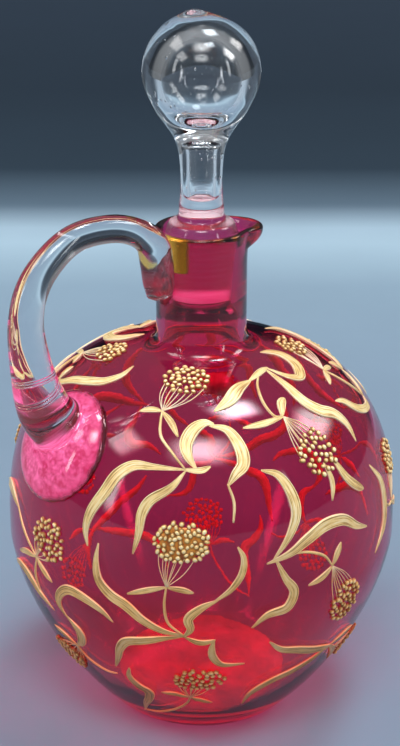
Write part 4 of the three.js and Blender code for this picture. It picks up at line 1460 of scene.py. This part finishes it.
# the ochre ground that some heads have under their beads
def layGround(spray, place, halfWidth, halfHeight, chance):
    sides = enamel["groundSides"]
    edge = []
    for turn in np.linspace(0, 2 * math.pi, sides, endpoint=False):
        x = math.cos(turn) * halfWidth * chance.uniform(0.7, 0.84)
        edge.append((x, math.sin(turn) * halfHeight * chance.uniform(0.68, 0.82)))
    verts = [place(x * k, y * k, lift) for k, lift in ((1, -0.06), (0.97, 0.16), (0.6, 0.3)) for x, y in edge]
    verts.append(place(0, 0, 0.32))
    faces = domeFaces(3, sides)
    uv = [(0.5 + x * 0.1, z * 0.1) for x, _, z in verts]
    addTo(spray, verts, faces, [groundSlot] * (len(faces) - 1) + [underSlot], uv)


# beads scattered over a head without touching much, and stalks that fan from its node
def layHead(spray, middle, at, size, node, chance, hasGround):
    radius = radiusAt(at[1])
    halfWidth, halfHeight = size

    def place(x, y, lift):
        return onGlobe(middle + at[0] + math.degrees(x / radius), at[1] + y, lift)

    beads, count, inset = [], enamel["lobes"], enamel["beadRadius"]
    lobes = [chance.uniform(0.9, 1.06) for _ in range(count)]
    gap = enamel["groundGap"] if hasGround else enamel["beadGap"]
    for _ in range(enamel["tries"]):
        angle, away = chance.uniform(0, 2 * math.pi), math.sqrt(chance.random())
        lobe = lobes[int(angle / (2 * math.pi) * count) % count]
        x = math.cos(angle) * away * (halfWidth - inset) * lobe
        y = math.sin(angle) * away * (halfHeight - inset) * lobe
        if all(math.hypot(x - a, y - b) > gap for a, b in beads):
            beads.append((x, y))
    if hasGround:
        layGround(spray, place, halfWidth, halfHeight, chance)
    for x, y in beads:
        beadSize = enamel["beadRadius"] * chance.uniform(0.82, 1.06)
        layBead(spray, middle, at[0] + math.degrees(x / radius), at[1] + y, beadSize, chance)
    fromNode = (math.radians(node[0] - at[0]) * radius, node[1] - at[1])
    reach = math.hypot(*fromNode)
    aim = (fromNode[0] / reach, fromNode[1] / reach)
    near = sorted(beads, key=lambda spot: -(spot[0] * aim[0] + spot[1] * aim[1]))[: enamel["nearBeads"]]
    fan = sorted(near, key=lambda spot: spot[0] * aim[1] - spot[1] * aim[0])[::2]
    for x, y in fan:
        bend = 0.5 * (x * aim[1] - y * aim[0]) * 0.35
        half = ((x + fromNode[0]) / 2 + bend * aim[1], (y + fromNode[1]) / 2 - bend * aim[0])
        points = [(at[0] + math.degrees(a / radius), at[1] + b) for a, b in (fromNode, half, (x, y))]
        path = smoothLine(points, 9)
        widths, heights = np.full(len(path), enamel["stalkWidth"]), np.full(len(path), enamel["stalkHeight"])
        layStrip(spray, middle, path, widths, stalkSection, heights, stalkSlot, chance.random())


def makeSpray(name, drawing, middle):
    chance = random.Random(name)
    spray = newShape()
    head, *strokes = drawing
    for widest, *path in strokes:
        layStroke(spray, middle, widest, path, chance)
    layHead(spray, middle, *head, chance, name.endswith("_lower"))
    piece = addMesh(name.replace("spray", "enamel"), spray["verts"], spray["faces"], pastes, spray["slots"])
    layUV(piece, "pasteLines", spray["uv"])
    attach(piece, "decanter_body")
    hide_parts(name)


for side, middle in (("front", enamel["front"]), ("back", enamel["front"] + 180)):
    for name, drawing in sprays.items():
        makeSpray("spray_" + side + "_" + name, drawing, middle)
makeSpray("spray_under_spout", spoutSpray, enamel["front"] + 180)
print("enamel laid")
